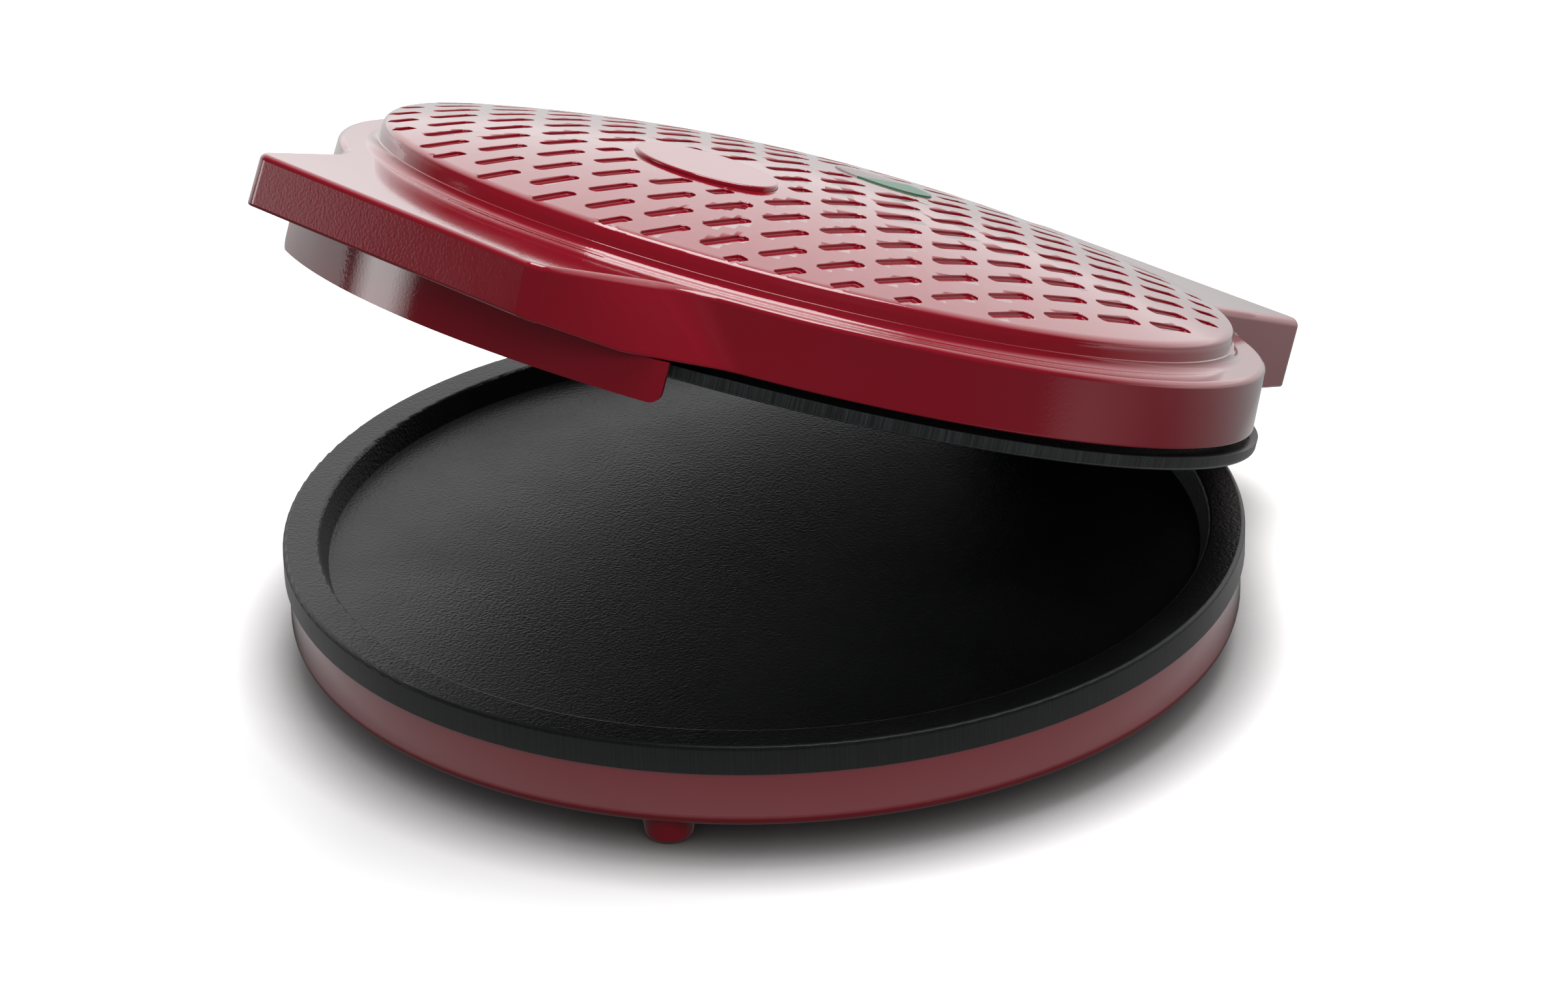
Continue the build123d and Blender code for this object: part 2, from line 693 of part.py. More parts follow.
# The lid cover's outside and the room inside it, each with its part of the raised hinge block
cover_levels = (
    (skirt_bottom, skirt_bottom_r, HANDLE_FLANK_BOTTOM, HANDLE_ROOT_BOTTOM),
    (ledge_z, ledge_r, HANDLE_FLANK_TOP, HANDLE_ROOT_TOP),
)
cover_forms = []
for inset in (0.0, WALL):
    with BuildPart() as block:
        with BuildSketch(Plane.XY.offset(skirt_bottom)):
            add(block_outline(inset))
        extrude(amount=dome_top - skirt_bottom)
        slope = Vector(0, block_rise, 1).normalized()
        top = Plane(Vector(0, block_y, block_top_z) - slope * inset, x_dir=(1, 0, 0), z_dir=slope)
        split(bisect_by=top, keep=Keep.BOTTOM)
        if not inset:
            fillet(faces().sort_by(Axis.Z)[-1].edges().sort_by(Axis.Y)[1:], BLOCK_ROUND)
    with BuildPart() as form:
        for z, skirt_r, flank, root in cover_levels:
            with BuildSketch(Plane.XY.offset(min(z, ledge_z - inset))):
                outline = lid_outline(skirt_r, flank, root)
                add(offset(outline, amount=-inset, mode=Mode.PRIVATE) if inset else outline)
        loft(ruled=True)
        if not inset:
            # The lower edge of the handle rises to the front
            with BuildSketch(Plane.YZ):
                with BuildLine():
                    Polyline(
                        (handle_edge_y, skirt_bottom),
                        (handle_y, handle_edge_z),
                        (handle_y - WALL, handle_edge_z),
                        (handle_y - WALL, skirt_bottom),
                        close=True,
                    )
                make_face()
            extrude(amount=skirt_bottom_r, both=True, mode=Mode.SUBTRACT)
            fillet(faces().sort_by(Axis.Z)[-1].edges(), LEDGE_ROUND)
        with BuildSketch(Plane.XZ):
            add(step_profile(inset))
        revolve(axis=Axis.Z)
        add(block.part)
    cover_forms.append(form.part)

with BuildPart() as lid_cover:
    add(cover_forms[0])
    add(cover_forms[1], mode=Mode.SUBTRACT)
    # Screw bosses in the handle and the block
    block_inner_top = block_top_z + (block_y - carrier_screw_y) * block_rise - WALL / 2
    for x, y, top_z in (
        (HANDLE_SCREW_X, handle_screw_y, cover_inner_top),
        (CARRIER_SCREW_X, carrier_screw_y, block_inner_top),
    ):
        with BuildSketch(Plane.XY.offset(carrier_seat)):
            with Locations((x, y), (-x, y)):
                Circle(BOSS_R)
        extrude(amount=top_z - carrier_seat)
        with BuildSketch(Plane.XY.offset(carrier_seat)):
            with Locations((x, y), (-x, y)):
                Circle(screw_hole_r)
        extrude(amount=COVER_SCREW_L, mode=Mode.SUBTRACT)
    # Knuckles that hang from the block and turn on the pins
    for side in (-1, 1):
        with BuildSketch(Plane.YZ.offset(side * (knuckle_x + KNUCKLE_T / 2))):
            with Locations((hinge_y, hinge_z)):
                Circle(KNUCKLE_R)
            with Locations((hinge_y, (hinge_z + block_top_z) / 2)):
                Rectangle(2 * KNUCKLE_R, block_top_z - hinge_z)
            with Locations((hinge_y, hinge_z)):
                Circle(PIN_R + PIN_FIT, mode=Mode.SUBTRACT)
        extrude(amount=KNUCKLE_T / 2, both=True)
    # Pocket for the badge, seat and opening for the indicator window
    badge_face = dome_plane(0, BADGE_Y, -BADGE_SUNK)
    with BuildSketch(badge_face):
        Ellipse(BADGE_A + SEAT_FIT, BADGE_B + SEAT_FIT)
    extrude(amount=BADGE_SUNK + BADGE_PROUD, mode=Mode.SUBTRACT)
    lens_face = dome_plane(0, LENS_Y, -LENS_SUNK)
    with BuildSketch(lens_face):
        Ellipse(LENS_A + SEAT_FIT, LENS_B + SEAT_FIT)
    extrude(amount=LENS_SUNK + LENS_PROUD, mode=Mode.SUBTRACT)
    with BuildSketch(lens_face):
        Ellipse(LENS_A - LENS_SEAT, LENS_B - LENS_SEAT)
    extrude(amount=-WALL, mode=Mode.SUBTRACT)
    # Slots, all cut at once
    for x, y, length in slots():
        with BuildSketch(dome_plane(x, y, SLOT_DEPTH)):
            Rectangle(SLOT_W, length)
            chamfer(vertices(), SLOT_CHAMFER)
    extrude(amount=-2 * SLOT_DEPTH, mode=Mode.SUBTRACT)
save(lid_cover.part, "lid_cover", on_lid=True)

with BuildPart() as handle_guard:
    with BuildSketch(Plane.XY.offset(guard_plate_z)):
        outline = lid_outline(skirt_bottom_r, GUARD_FLANK, HANDLE_ROOT_BOTTOM)
        add(offset(outline, amount=-WALL - GUARD_CLEAR, mode=Mode.PRIVATE))
        Circle(guard_plate_r, mode=Mode.SUBTRACT)
        with Locations((0, guard_plate_back)):
            depth = guard_plate_back - handle_y
            Rectangle(2 * GUARD_PLATE_HALF, depth, align=AT_BACK, mode=Mode.INTERSECT)
    extrude(amount=GUARD_PLATE_T)
    # The curved wall, and the web that joins it to the plate
    for half_angle, low, high in (
        (GUARD_HALF_ANGLE, guard_bottom, skirt_bottom - GUARD_CLEAR),
        (GUARD_WEB_HALF_ANGLE, skirt_bottom - GUARD_CLEAR, guard_plate_z),
    ):
        with BuildSketch(Plane.XY.offset(low)):
            with BuildLine():
                first, sweep_angle = -90 - half_angle, 2 * half_angle
                outer = CenterArc((0, 0), guard_r, first, sweep_angle)
                inner = CenterArc((0, 0), guard_r - GUARD_T, first, sweep_angle)
                Line(outer @ 0, inner @ 0)
                Line(outer @ 1, inner @ 1)
            make_face()
        extrude(amount=high - low)
        if low == guard_bottom:
            fillet(edges().group_by(Axis.Z)[0].filter_by(GeomType.LINE), GUARD_CORNER)
    with BuildSketch(Plane.XY.offset(guard_plate_z + GUARD_PLATE_T)):
        with Locations((HANDLE_SCREW_X, handle_screw_y), (-HANDLE_SCREW_X, handle_screw_y)):
            Circle(BOSS_R)
    extrude(amount=carrier_flange_z - guard_plate_z - GUARD_PLATE_T)
    with BuildSketch(Plane.XY.offset(guard_plate_z)):
        with Locations((HANDLE_SCREW_X, handle_screw_y), (-HANDLE_SCREW_X, handle_screw_y)):
            Circle(screw_hole_r)
    extrude(amount=carrier_flange_z - guard_plate_z, mode=Mode.SUBTRACT)
save(handle_guard.part, "handle_guard", on_lid=True)

with BuildPart() as lid_carrier:
    with BuildSketch(Plane.XZ):
        with BuildLine():
            Polyline(
                (0, carrier_top),
                (carrier_wall_r - SHEET_T, carrier_top),
                (carrier_wall_r - SHEET_T, carrier_flange_z),
                (carrier_r, carrier_flange_z),
                (carrier_r, carrier_seat),
                (carrier_wall_r, carrier_seat),
                (carrier_wall_r, carrier_top + SHEET_T),
                (0, carrier_top + SHEET_T),
                close=True,
            )
        make_face()
    revolve(axis=Axis.Z)
    with BuildSketch(Plane.XY.offset(carrier_flange_z)):
        with Locations((0, tab_front_y)):
            Rectangle(2 * TAB_HALF_FRONT, -tab_front_y - carrier_wall_r, align=AT_FRONT)
        with Locations((0, tab_back_y)):
            Rectangle(2 * TAB_HALF_BACK, tab_back_y - carrier_wall_r, align=AT_BACK)
        with Locations((HANDLE_SCREW_X, handle_screw_y), (-HANDLE_SCREW_X, handle_screw_y)):
            Circle(screw_hole_r, mode=Mode.SUBTRACT)
        with Locations((CARRIER_SCREW_X, carrier_screw_y), (-CARRIER_SCREW_X, carrier_screw_y)):
            Circle(screw_hole_r, mode=Mode.SUBTRACT)
    extrude(amount=SHEET_T)
    with BuildSketch(Plane.XY.offset(carrier_top)):
        with plate_places():
            Circle(screw_hole_r)
    extrude(amount=SHEET_T, mode=Mode.SUBTRACT)
save(lid_carrier.part, "lid_carrier", on_lid=True)

handle_places = two_places(HANDLE_SCREW_X, handle_screw_y)
carrier_places = two_places(CARRIER_SCREW_X, carrier_screw_y)
screw_groups = (
    ("upper_plate_screws", carrier_top + SHEET_T, -PLATE_SCREW_L, plate_places().locations),
    ("handle_screws", guard_plate_z, COVER_SCREW_L, handle_places),
    ("carrier_screws", carrier_flange_z, COVER_SCREW_L, carrier_places),
)
for node, head_z, length, places in screw_groups:
    with BuildPart() as screws:
        with BuildSketch(Plane.XY.offset(head_z)):
            with Locations(*places):
                RegularPolygon(SCREW_HEAD_R, 6)
        extrude(amount=SCREW_HEAD_H if length < 0 else -SCREW_HEAD_H)
        with BuildSketch(Plane.XY.offset(head_z)):
            with Locations(*places):
                Circle(SCREW_R)
        extrude(amount=length)
    save(screws.part, node, on_lid=True)

with BuildPart() as badge_plate:
    with BuildSketch(badge_face):
        Ellipse(BADGE_A, BADGE_B)
    extrude(amount=BADGE_SUNK + BADGE_PROUD)
    fillet(edges().filter_by(GeomType.ELLIPSE).sort_by(Axis.Z)[-1], BADGE_ROUND)
save(badge_plate.part, "badge_plate", on_lid=True)

for node, side in (("indicator_lens_left", -1), ("indicator_lens_right", 1)):
    with BuildPart() as lens:
        with BuildSketch(lens_face):
            Ellipse(LENS_A, LENS_B)
            with Locations((side * (LENS_SPLIT / 2 + LENS_A), 0)):
                Rectangle(2 * LENS_A, 2 * LENS_B, mode=Mode.INTERSECT)
        extrude(amount=LENS_SUNK + LENS_PROUD)
    save(lens.part, node, on_lid=True)

with BuildPart() as lamp_holder:
    holder_top = dome_plane(0, LENS_Y, -WALL - HOLDER_GAP)
    with BuildSketch(holder_top):
        Ellipse(LENS_A + HOLDER_RIM, LENS_B + HOLDER_RIM)
    extrude(amount=-HOLDER_DEPTH - HOLDER_T)
    with BuildSketch(holder_top):
        Ellipse(LENS_A - LENS_SEAT, LENS_B - LENS_SEAT)
        Rectangle(HOLDER_T, 2 * LENS_B, mode=Mode.SUBTRACT)
    extrude(amount=-HOLDER_DEPTH, mode=Mode.SUBTRACT)
save(lamp_holder.part, "lamp_holder", on_lid=True)

with BuildPart() as indicator_lamps:
    lamp_face = dome_plane(0, LENS_Y, -WALL - HOLDER_GAP - HOLDER_DEPTH + LAMP_R + SNUG)
    for side in (-1, 1):
        middle = lamp_face.from_local_coords(Vector(side * LAMP_X, 0, 0))
        across = Plane(middle, z_dir=lamp_face.y_dir)
        with Locations(across):
            Cylinder(LAMP_R, LAMP_L)
save(indicator_lamps.part, "indicator_lamps", on_lid=True)
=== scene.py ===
"""Looks of a round electric pizza oven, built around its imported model.

Every mesh is drawn in millimetres about the middle of the plates with the lid closed. `Placing`
scales it, opens the lid's pieces about the hinge and puts them in the part's own frame.
"""

import json
import logging
import math
from dataclasses import dataclass, replace
from enum import Enum
from typing import Any, Callable, Iterable, Sequence

import bmesh
import bpy
from mathutils import Matrix, Vector

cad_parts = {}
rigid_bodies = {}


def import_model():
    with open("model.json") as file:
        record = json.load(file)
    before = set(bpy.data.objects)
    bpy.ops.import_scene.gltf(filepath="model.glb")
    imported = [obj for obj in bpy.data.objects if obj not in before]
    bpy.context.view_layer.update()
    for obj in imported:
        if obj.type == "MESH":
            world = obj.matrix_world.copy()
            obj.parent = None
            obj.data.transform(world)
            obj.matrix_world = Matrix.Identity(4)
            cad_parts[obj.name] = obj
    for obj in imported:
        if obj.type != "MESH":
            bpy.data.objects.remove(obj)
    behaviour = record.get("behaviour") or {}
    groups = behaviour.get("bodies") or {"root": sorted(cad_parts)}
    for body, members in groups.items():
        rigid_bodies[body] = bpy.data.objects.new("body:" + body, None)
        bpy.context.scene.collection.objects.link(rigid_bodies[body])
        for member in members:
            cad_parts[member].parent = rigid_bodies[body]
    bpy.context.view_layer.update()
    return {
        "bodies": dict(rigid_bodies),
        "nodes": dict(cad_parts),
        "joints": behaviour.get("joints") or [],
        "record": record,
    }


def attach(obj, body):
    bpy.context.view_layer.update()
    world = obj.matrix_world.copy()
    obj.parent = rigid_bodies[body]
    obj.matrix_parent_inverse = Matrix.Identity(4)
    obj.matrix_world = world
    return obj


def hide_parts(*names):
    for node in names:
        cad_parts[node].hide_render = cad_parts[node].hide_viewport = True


Mesh = bpy.types.Mesh
Node = bpy.types.Node
NodeTree = bpy.types.NodeTree
Object = bpy.types.Object
Socket = bpy.types.NodeSocket

LOG = logging.getLogger("pizza_oven")
# Metres in a millimetre, and the width in millimetres below which a face is a sliver
MM = 0.001
SLIVER = 0.01
Triple = tuple[float, float, float]
Ring = list[Vector]
Point = tuple[float, float]
Outline = list[tuple[Vector, Vector]]


class Body(Enum):
    """The two halves of the oven, by the names of their bodies."""

    BASE = "base"
    LID = "lid"


class Cut(Enum):
    """Ways to combine two solids."""

    JOIN = "UNION"
    REMOVE = "DIFFERENCE"


class Side(Enum):
    """Left and right as the user faces the handle."""

    LEFT = -1
    RIGHT = 1


# Camera and placing


def placed(name: str, data: Any) -> Object:
    """A new object in the scene."""
    made = bpy.data.objects.new(name, data)
    bpy.context.scene.collection.objects.link(made)
    return made


@dataclass(frozen=True)
class Camera:
    """The photograph's viewpoint, in the frame of the plates' middle and the floor."""

    azimuth: float = 46.0485
    elevation: float = 26.2272
    roll: float = -1.5746
    distance: float = 1973.4
    target_height: float = 48.0
    offset_x: float = -7.06
    offset_y: float = -1.60
    focal_px: float = 9000.0
    width_px: float = 2408.0
    sensor: float = 36.0

    def build(self, middle_y: float) -> Object:
        """Adds the camera and makes it the scene's own.

        Args:
            middle_y: where the plates' middle lies along Y, in millimetres.

        Returns:
            The camera object.
        """
        az, el, roll = (math.radians(a) for a in (self.azimuth, self.elevation, self.roll))
        back = Vector((math.sin(az) * math.cos(el), -math.cos(az) * math.cos(el), math.sin(el)))
        right = Vector((math.cos(az), math.sin(az), 0.0))
        up = back.cross(right)
        across = right * math.cos(roll) + up * math.sin(roll)
        upward = up * math.cos(roll) - right * math.sin(roll)
        target = Vector((0, 0, self.target_height)) - across * self.offset_x - upward * self.offset_y
        data = bpy.data.cameras.new("camera")
        data.sensor_width = self.sensor
        data.lens = self.focal_px / self.width_px * self.sensor
        data.clip_start, data.clip_end = 0.05, 50.0
        camera = placed("camera", data)
        turn = Matrix((across, upward, back)).transposed().to_4x4()
        place = (target + back * self.distance + Vector((0, middle_y, 0))) * MM
        camera.matrix_world = Matrix.Translation(place) @ turn
        bpy.context.scene.camera = camera
        return camera


@dataclass(frozen=True)
class Placing:
    """Puts drawn meshes in the part's frame."""

    middle_y: float = -21.2114
    hinge_y: float = 177.1
    hinge_z: float = 43.7
    opened: float = 21.85

    def matrix(self, body: Body) -> Matrix:
        """The step from drawing to part for a body's pieces, millimetres to metres included."""
        place = Matrix.Scale(MM, 4) @ Matrix.Translation((0, self.middle_y, 0))
        if body is Body.BASE:
            return place
        hinge = Matrix.Translation((0, self.hinge_y, self.hinge_z))
        return place @ hinge @ Matrix.Rotation(math.radians(-self.opened), 4, "X") @ hinge.inverted()

    def about_middle(self, tree: "Tree", place: Any, body: Body) -> Any:
        """Object coordinates of a body's piece, taken back to the plates' middle with the lid closed."""
        shift, turn, _ = (self.matrix(body) @ Matrix.Scale(1 / MM, 4)).inverted().decompose()
        return tree.node("ShaderNodeMapping", {0: place, 1: shift, 2: turn.to_euler()}).outputs[0]

    def piece(self, name: str, mesh: Mesh, body: Body, slot: str, *nodes: str) -> Object:
        """Makes a finished piece of a drawn mesh.

        Args:
            name: the piece's name.
            mesh: its mesh, in millimetres as drawn.
            body: what it rides on.
            slot: the record's material slot; not used.
            nodes: the solids that it stands for.

        Returns:
            The piece's object.
        """
        mesh.transform(self.matrix(body))
        made = placed(name, mesh)
        mesh.name = name
        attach(made, body.value)
        if nodes:
            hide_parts(*nodes)
        LOG.info("%s: %d faces on %s", name, len(mesh.polygons), body.value)
        return made


PLACING = Placing()


# Shader nodes


class Tree:
    """A short way to build a node tree."""

    def __init__(self, tree: NodeTree) -> None:
        """Keeps the tree that the nodes go into."""
        self.tree = tree

    def node(self, kind: str, inputs: dict[Any, Any] | None = None, **settings: Any) -> Node:
        """Adds a node.

        Args:
            kind: its Blender type.
            inputs: values or output sockets, by the name or index of the input.
            settings: its properties.

        Returns:
            The node.
        """
        made = self.tree.nodes.new(kind)
        for key, value in settings.items():
            setattr(made, key, value)
        for key, value in (inputs or {}).items():
            socket = made.inputs[key]
            if isinstance(value, Socket):
                self.tree.links.new(value, socket)
            else:
                socket.default_value = value
        return made

    def math(self, operation: str, *values: Any) -> Socket:
        """The result of a Math node on numbers or sockets."""
        return self.node("ShaderNodeMath", dict(enumerate(values)), operation=operation).outputs[0]

    def plus(self, first: Any, second: Any) -> Socket:
        """A sum."""
        return self.math("ADD", first, second)

    def minus(self, first: Any, second: Any) -> Socket:
        """A difference."""
        return self.math("SUBTRACT", first, second)

    def times(self, first: Any, second: Any) -> Socket:
        """A product."""
        return self.math("MULTIPLY", first, second)

    def over(self, first: Any, second: Any) -> Socket:
        """A quotient."""
        return self.math("DIVIDE", first, second)

    def vector(self, operation: str, *values: Any) -> Socket:
        """The number that a Vector Math node makes of vectors."""
        made = self.node("ShaderNodeVectorMath", dict(enumerate(values)), operation=operation)
        return made.outputs["Value"]

    def xyz(self, x: Any = 0.0, y: Any = 0.0, z: Any = 0.0) -> Socket:
        """A vector of three values."""
        return self.node("ShaderNodeCombineXYZ", {0: x, 1: y, 2: z}).outputs[0]

    def parts(self, vector: Any) -> Any:
        """The three values of a vector."""
        return self.node("ShaderNodeSeparateXYZ", {0: vector}).outputs

    def noise(self, vector: Any, scale: Any, detail: float, roughness: float = 0.5) -> Socket:
        """Noise over a vector."""
        inputs = {"Vector": vector, "Scale": scale, "Detail": detail, "Roughness": roughness}
        return self.node("ShaderNodeTexNoise", inputs).outputs[0]

    def span(self, value: Any, low: float, high: float, to_low: float, to_high: float) -> Any:
        """A value mapped from one range to another and held inside it."""
        inputs = {0: value, 1: low, 2: high, 3: to_low, 4: to_high}
        return self.node("ShaderNodeMapRange", inputs).outputs[0]

    def mix(self, factor: Any, first: Any, second: Any) -> Socket:
        """A mix of two colours."""
        made = self.node("ShaderNodeMix", {0: factor, 6: first, 7: second}, data_type="RGBA")
        return made.outputs[2]


def cleared(owner: Any) -> Tree:
    """A builder for the node tree of a material or world, with nothing in it yet."""
    owner.use_nodes = True
    owner.node_tree.nodes.clear()
    return Tree(owner.node_tree)


Group = tuple[NodeTree, Tree]


def rgba(colour: Triple) -> tuple[float, float, float, float]:
    """A colour with its alpha."""
    return (*colour, 1.0)


def add_inputs(tree: NodeTree, sizes: dict[str, float]) -> None:
    """Gives a node group number inputs with their defaults."""
    for key, value in sizes.items():
        socket = tree.interface.new_socket(key, in_out="INPUT", socket_type="NodeSocketFloat")
        socket.default_value = value


def shader_group(name: str, inputs: dict[str, float], outputs: Sequence[str]) -> Group:
    """Starts a shader node group that reads a vector and numbers and puts out numbers.

    Args:
        name: the group's name.
        inputs: its numbers with their defaults.
        outputs: the names of what it puts out.

    Returns:
        The group, and a builder for its inside.
    """
    group = bpy.data.node_groups.new(name, "ShaderNodeTree")
    group.interface.new_socket("Vector", in_out="INPUT", socket_type="NodeSocketVector")
    add_inputs(group, inputs)
    for key in outputs:
        group.interface.new_socket(key, in_out="OUTPUT", socket_type="NodeSocketFloat")
    return group, Tree(group)


def geometry_group(name: str, sizes: dict[str, float]) -> Group:
    """Starts a geometry node group that puts a shape at every place.

    Args:
        name: the group's name.
        sizes: its numbers with their defaults.

    Returns:
        The group, and a builder for its inside.
    """
    group = bpy.data.node_groups.new(name, "GeometryNodeTree")
    group.interface.new_socket("Places", in_out="INPUT", socket_type="NodeSocketGeometry")
    add_inputs(group, sizes)
    group.interface.new_socket("Finish", in_out="INPUT", socket_type="NodeSocketMaterial")
    group.interface.new_socket("Shapes", in_out="OUTPUT", socket_type="NodeSocketGeometry")
    return group, Tree(group)


def end_group(tree: Tree, instances: Any, finish: Any) -> None:
    """Ends a geometry node group: its instances become one mesh with a finish."""
    whole = tree.node("GeometryNodeRealizeInstances", {0: instances})
    dressed = tree.node("GeometryNodeSetMaterial", {"Geometry": whole.outputs[0], "Material": finish})
    tree.node("NodeGroupOutput", {0: dressed.outputs[0]})


def moulded_skin() -> NodeTree:
    """Waves of a moulded or sprayed surface: a soft orange peel over broad, faint swells."""
    sizes = {"Cell": 0.0015, "Swell": 0.02, "Share": 0.25}
    group, tree = shader_group("moulded_skin", sizes, ["Height", "Mask"])
    given = tree.node("NodeGroupInput").outputs
    fine = tree.noise(given["Vector"], tree.over(1.0, given["Cell"]), 1.5, 0.45)
    broad = tree.noise(given["Vector"], tree.over(1.0, given["Swell"]), 0.0)
    added = tree.math("MULTIPLY_ADD", broad, given["Share"], fine)
    tree.node("NodeGroupOutput", {"Height": added, "Mask": tree.span(broad, 0.35, 0.65, 0.0, 1.0)})
    return group


def fine_scratches() -> NodeTree:
    """Hairlines in one direction, such as a turned or brushed face shows."""
    group, tree = shader_group("fine_scratches", {"Pitch": 0.0006, "Length": 0.012}, ["Height", "Mask"])
    given = tree.node("NodeGroupInput").outputs
    x, y, z = tree.parts(given["Vector"])
    across = tree.times(x, tree.over(1.0, given["Pitch"]))
    along = tree.times(y, tree.over(1.0, given["Length"]))
    lines = tree.noise(tree.xyz(across, along, z), 1.0, 3.0, 0.7)
    tree.node("NodeGroupOutput", {"Height": lines, "Mask": tree.span(lines, 0.42, 0.68, 0.0, 1.0)})
    return group


def use_marks() -> NodeTree:
    """Where handling has dulled a surface: patches."""
    group, tree = shader_group("use_marks", {"Patch": 0.03}, ["Patches"])
    given = tree.node("NodeGroupInput").outputs
    broad = tree.noise(given["Vector"], tree.over(1.0, given["Patch"]), 4.0)
    tree.node("NodeGroupOutput", {"Patches": tree.span(broad, 0.40, 0.70, 0.0, 1.0)})
    return group


def rim_lines_and_edge_highlight() -> NodeTree:
    """A cast plate's skin with lines across its turned rim, about the Z axis, and a painted highlight along
    the rim's edge at the parting line.
    """
    sizes = {"Cell": 0.0011, "Pitch": 0.00045, "Length": 0.03}
    sizes |= {"Rim": 0.1606, "Parting": 0.0412, "Edge": 0.0004}
    group, tree = shader_group("rim_lines_and_edge_highlight", sizes, ["Height", "Mask"])
    given = tree.node("NodeGroupInput").outputs
    x, y, z = tree.parts(given["Vector"])
    reach = tree.vector("LENGTH", tree.xyz(x, y))
    count = tree.over(given["Rim"], tree.times(reach, given["Pitch"]))
    across = tree.xyz(tree.times(x, count), tree.times(y, count), tree.over(z, given["Length"]))
    lines = tree.noise(across, 1.0, 3.0, 0.75)
    rim = tree.math("GREATER_THAN", reach, given["Rim"])
    # Painted highlight: a thin band at the rim's parting line joins the mask, so it shows in the lighter
    # colour as light caught by that edge
    gap = tree.math("ABSOLUTE", tree.minus(z, given["Parting"]))
    edge = tree.times(rim, tree.math("LESS_THAN", gap, given["Edge"]))
    lit = tree.times(rim, tree.span(lines, 0.38, 0.70, 0.15, 1.0))
    skin = tree.noise(given["Vector"], tree.over(1.0, given["Cell"]), 1.5)
    inside = tree.times(skin, tree.minus(1.0, rim))
    height = tree.math("MULTIPLY_ADD", lines, tree.times(rim, 0.3), inside)
    tree.node("NodeGroupOutput", {"Height": height, "Mask": tree.math("MAXIMUM", lit, edge)})
    return group


GROUPS: dict[str, Callable[[], NodeTree]] = {
    "rim_lines_and_edge_highlight": rim_lines_and_edge_highlight,
    "moulded_skin": moulded_skin,
    "fine_scratches": fine_scratches,
    "use_marks": use_marks,
}


@dataclass(frozen=True)
class Finish:
    """A surface finish: its colour, gloss and relief, as one material."""

    name: str
    colour: Triple
    worn: Triple
    roughness: float = 0.3
    rough_worn: float = 0.4
    metallic: float = 0.0
    coat: float = 0.0
    coat_roughness: float = 0.03
    ior: float = 1.5
    transmission: float = 0.0
    relief: str = "moulded_skin"
    relief_sizes: tuple[float, ...] = (0.0015, 0.02, 0.25)
    relief_depth: float = 0.00001
    patch: float = 0.03
    # Colour mixed in where the relief's mask is: a turned rim's line tone together with its painted edge
    # highlight
    lit: Triple | None = None
    show_lines_and_highlight: float = 0.0
    turned: Body | None = None

    def group(self, tree: Tree, name: str, vector: Any, sizes: Iterable[float]) -> Node:
        """Places a shared group in the material with this finish's own values."""
        shared = bpy.data.node_groups.get(name) or GROUPS[name]()
        made = tree.node("ShaderNodeGroup", node_tree=shared)
        tree.tree.links.new(vector, made.inputs["Vector"])
        for socket, value in zip(list(made.inputs)[1:], sizes):
            socket.default_value = value
        return made

    def build(self) -> bpy.types.Material:
        """The material, made once."""
        known = bpy.data.materials.get(self.name)
        if known:
            return known
        made = bpy.data.materials.new(self.name)
        tree = cleared(made)
        place = tree.node("ShaderNodeTexCoord").outputs["Object"]
        if self.turned:
            place = PLACING.about_middle(tree, place, self.turned)
        relief = self.group(tree, self.relief, place, self.relief_sizes)
        marks = self.group(tree, "use_marks", place, (self.patch,))
        patches = marks.outputs["Patches"]
        colour = tree.mix(tree.times(patches, 0.5), rgba(self.colour), rgba(self.worn))
        # The lighter colour shows the rim's lines and, at its edge, a painted highlight
        if self.lit:
            shown = tree.times(relief.outputs["Mask"], self.show_lines_and_highlight)
            colour = tree.mix(shown, colour, rgba(self.lit))
        rough = tree.span(patches, 0.0, 1.0, self.roughness, self.rough_worn)
        bump = tree.node("ShaderNodeBump", {"Strength": 1.0, "Distance": self.relief_depth})
        tree.tree.links.new(relief.outputs["Height"], bump.inputs["Height"])
        settings = {
            "Base Color": colour,
            "Roughness": rough,
            "Metallic": self.metallic,
            "IOR": self.ior,
            "Coat Weight": self.coat,
            "Coat Roughness": self.coat_roughness,
            "Coat IOR": self.ior,
            "Transmission Weight": self.transmission,
            "Normal": bump.outputs[0],
            "Coat Normal": bump.outputs[0],
        }
        shader = tree.node("ShaderNodeBsdfPrincipled", settings)
        tree.node("ShaderNodeOutputMaterial", {"Surface": shader.outputs[0]})
        return made


CRIMSON = Finish(
    "crimson_plastic",
    (0.405, 0.0065, 0.024),
    (0.375, 0.0075, 0.025),
    roughness=0.10,
    rough_worn=0.15,
    coat=1.0,
    ior=1.55,
    relief_sizes=(0.0010, 0.03, 0.4),
    relief_depth=0.000014,
)
LOWER_CAST = Finish(
    "non_stick_lower",
    (0.0085, 0.009, 0.0095),
    (0.014, 0.0145, 0.015),
    roughness=0.32,
    rough_worn=0.40,
    relief="rim_lines_and_edge_highlight",
    relief_sizes=(0.0011, 0.00045, 0.03, 0.1606, 0.0412, 0.0004),
    relief_depth=0.00018,
    patch=0.05,
    lit=(0.055, 0.06, 0.063),
    show_lines_and_highlight=0.35,
    turned=Body.BASE,
)
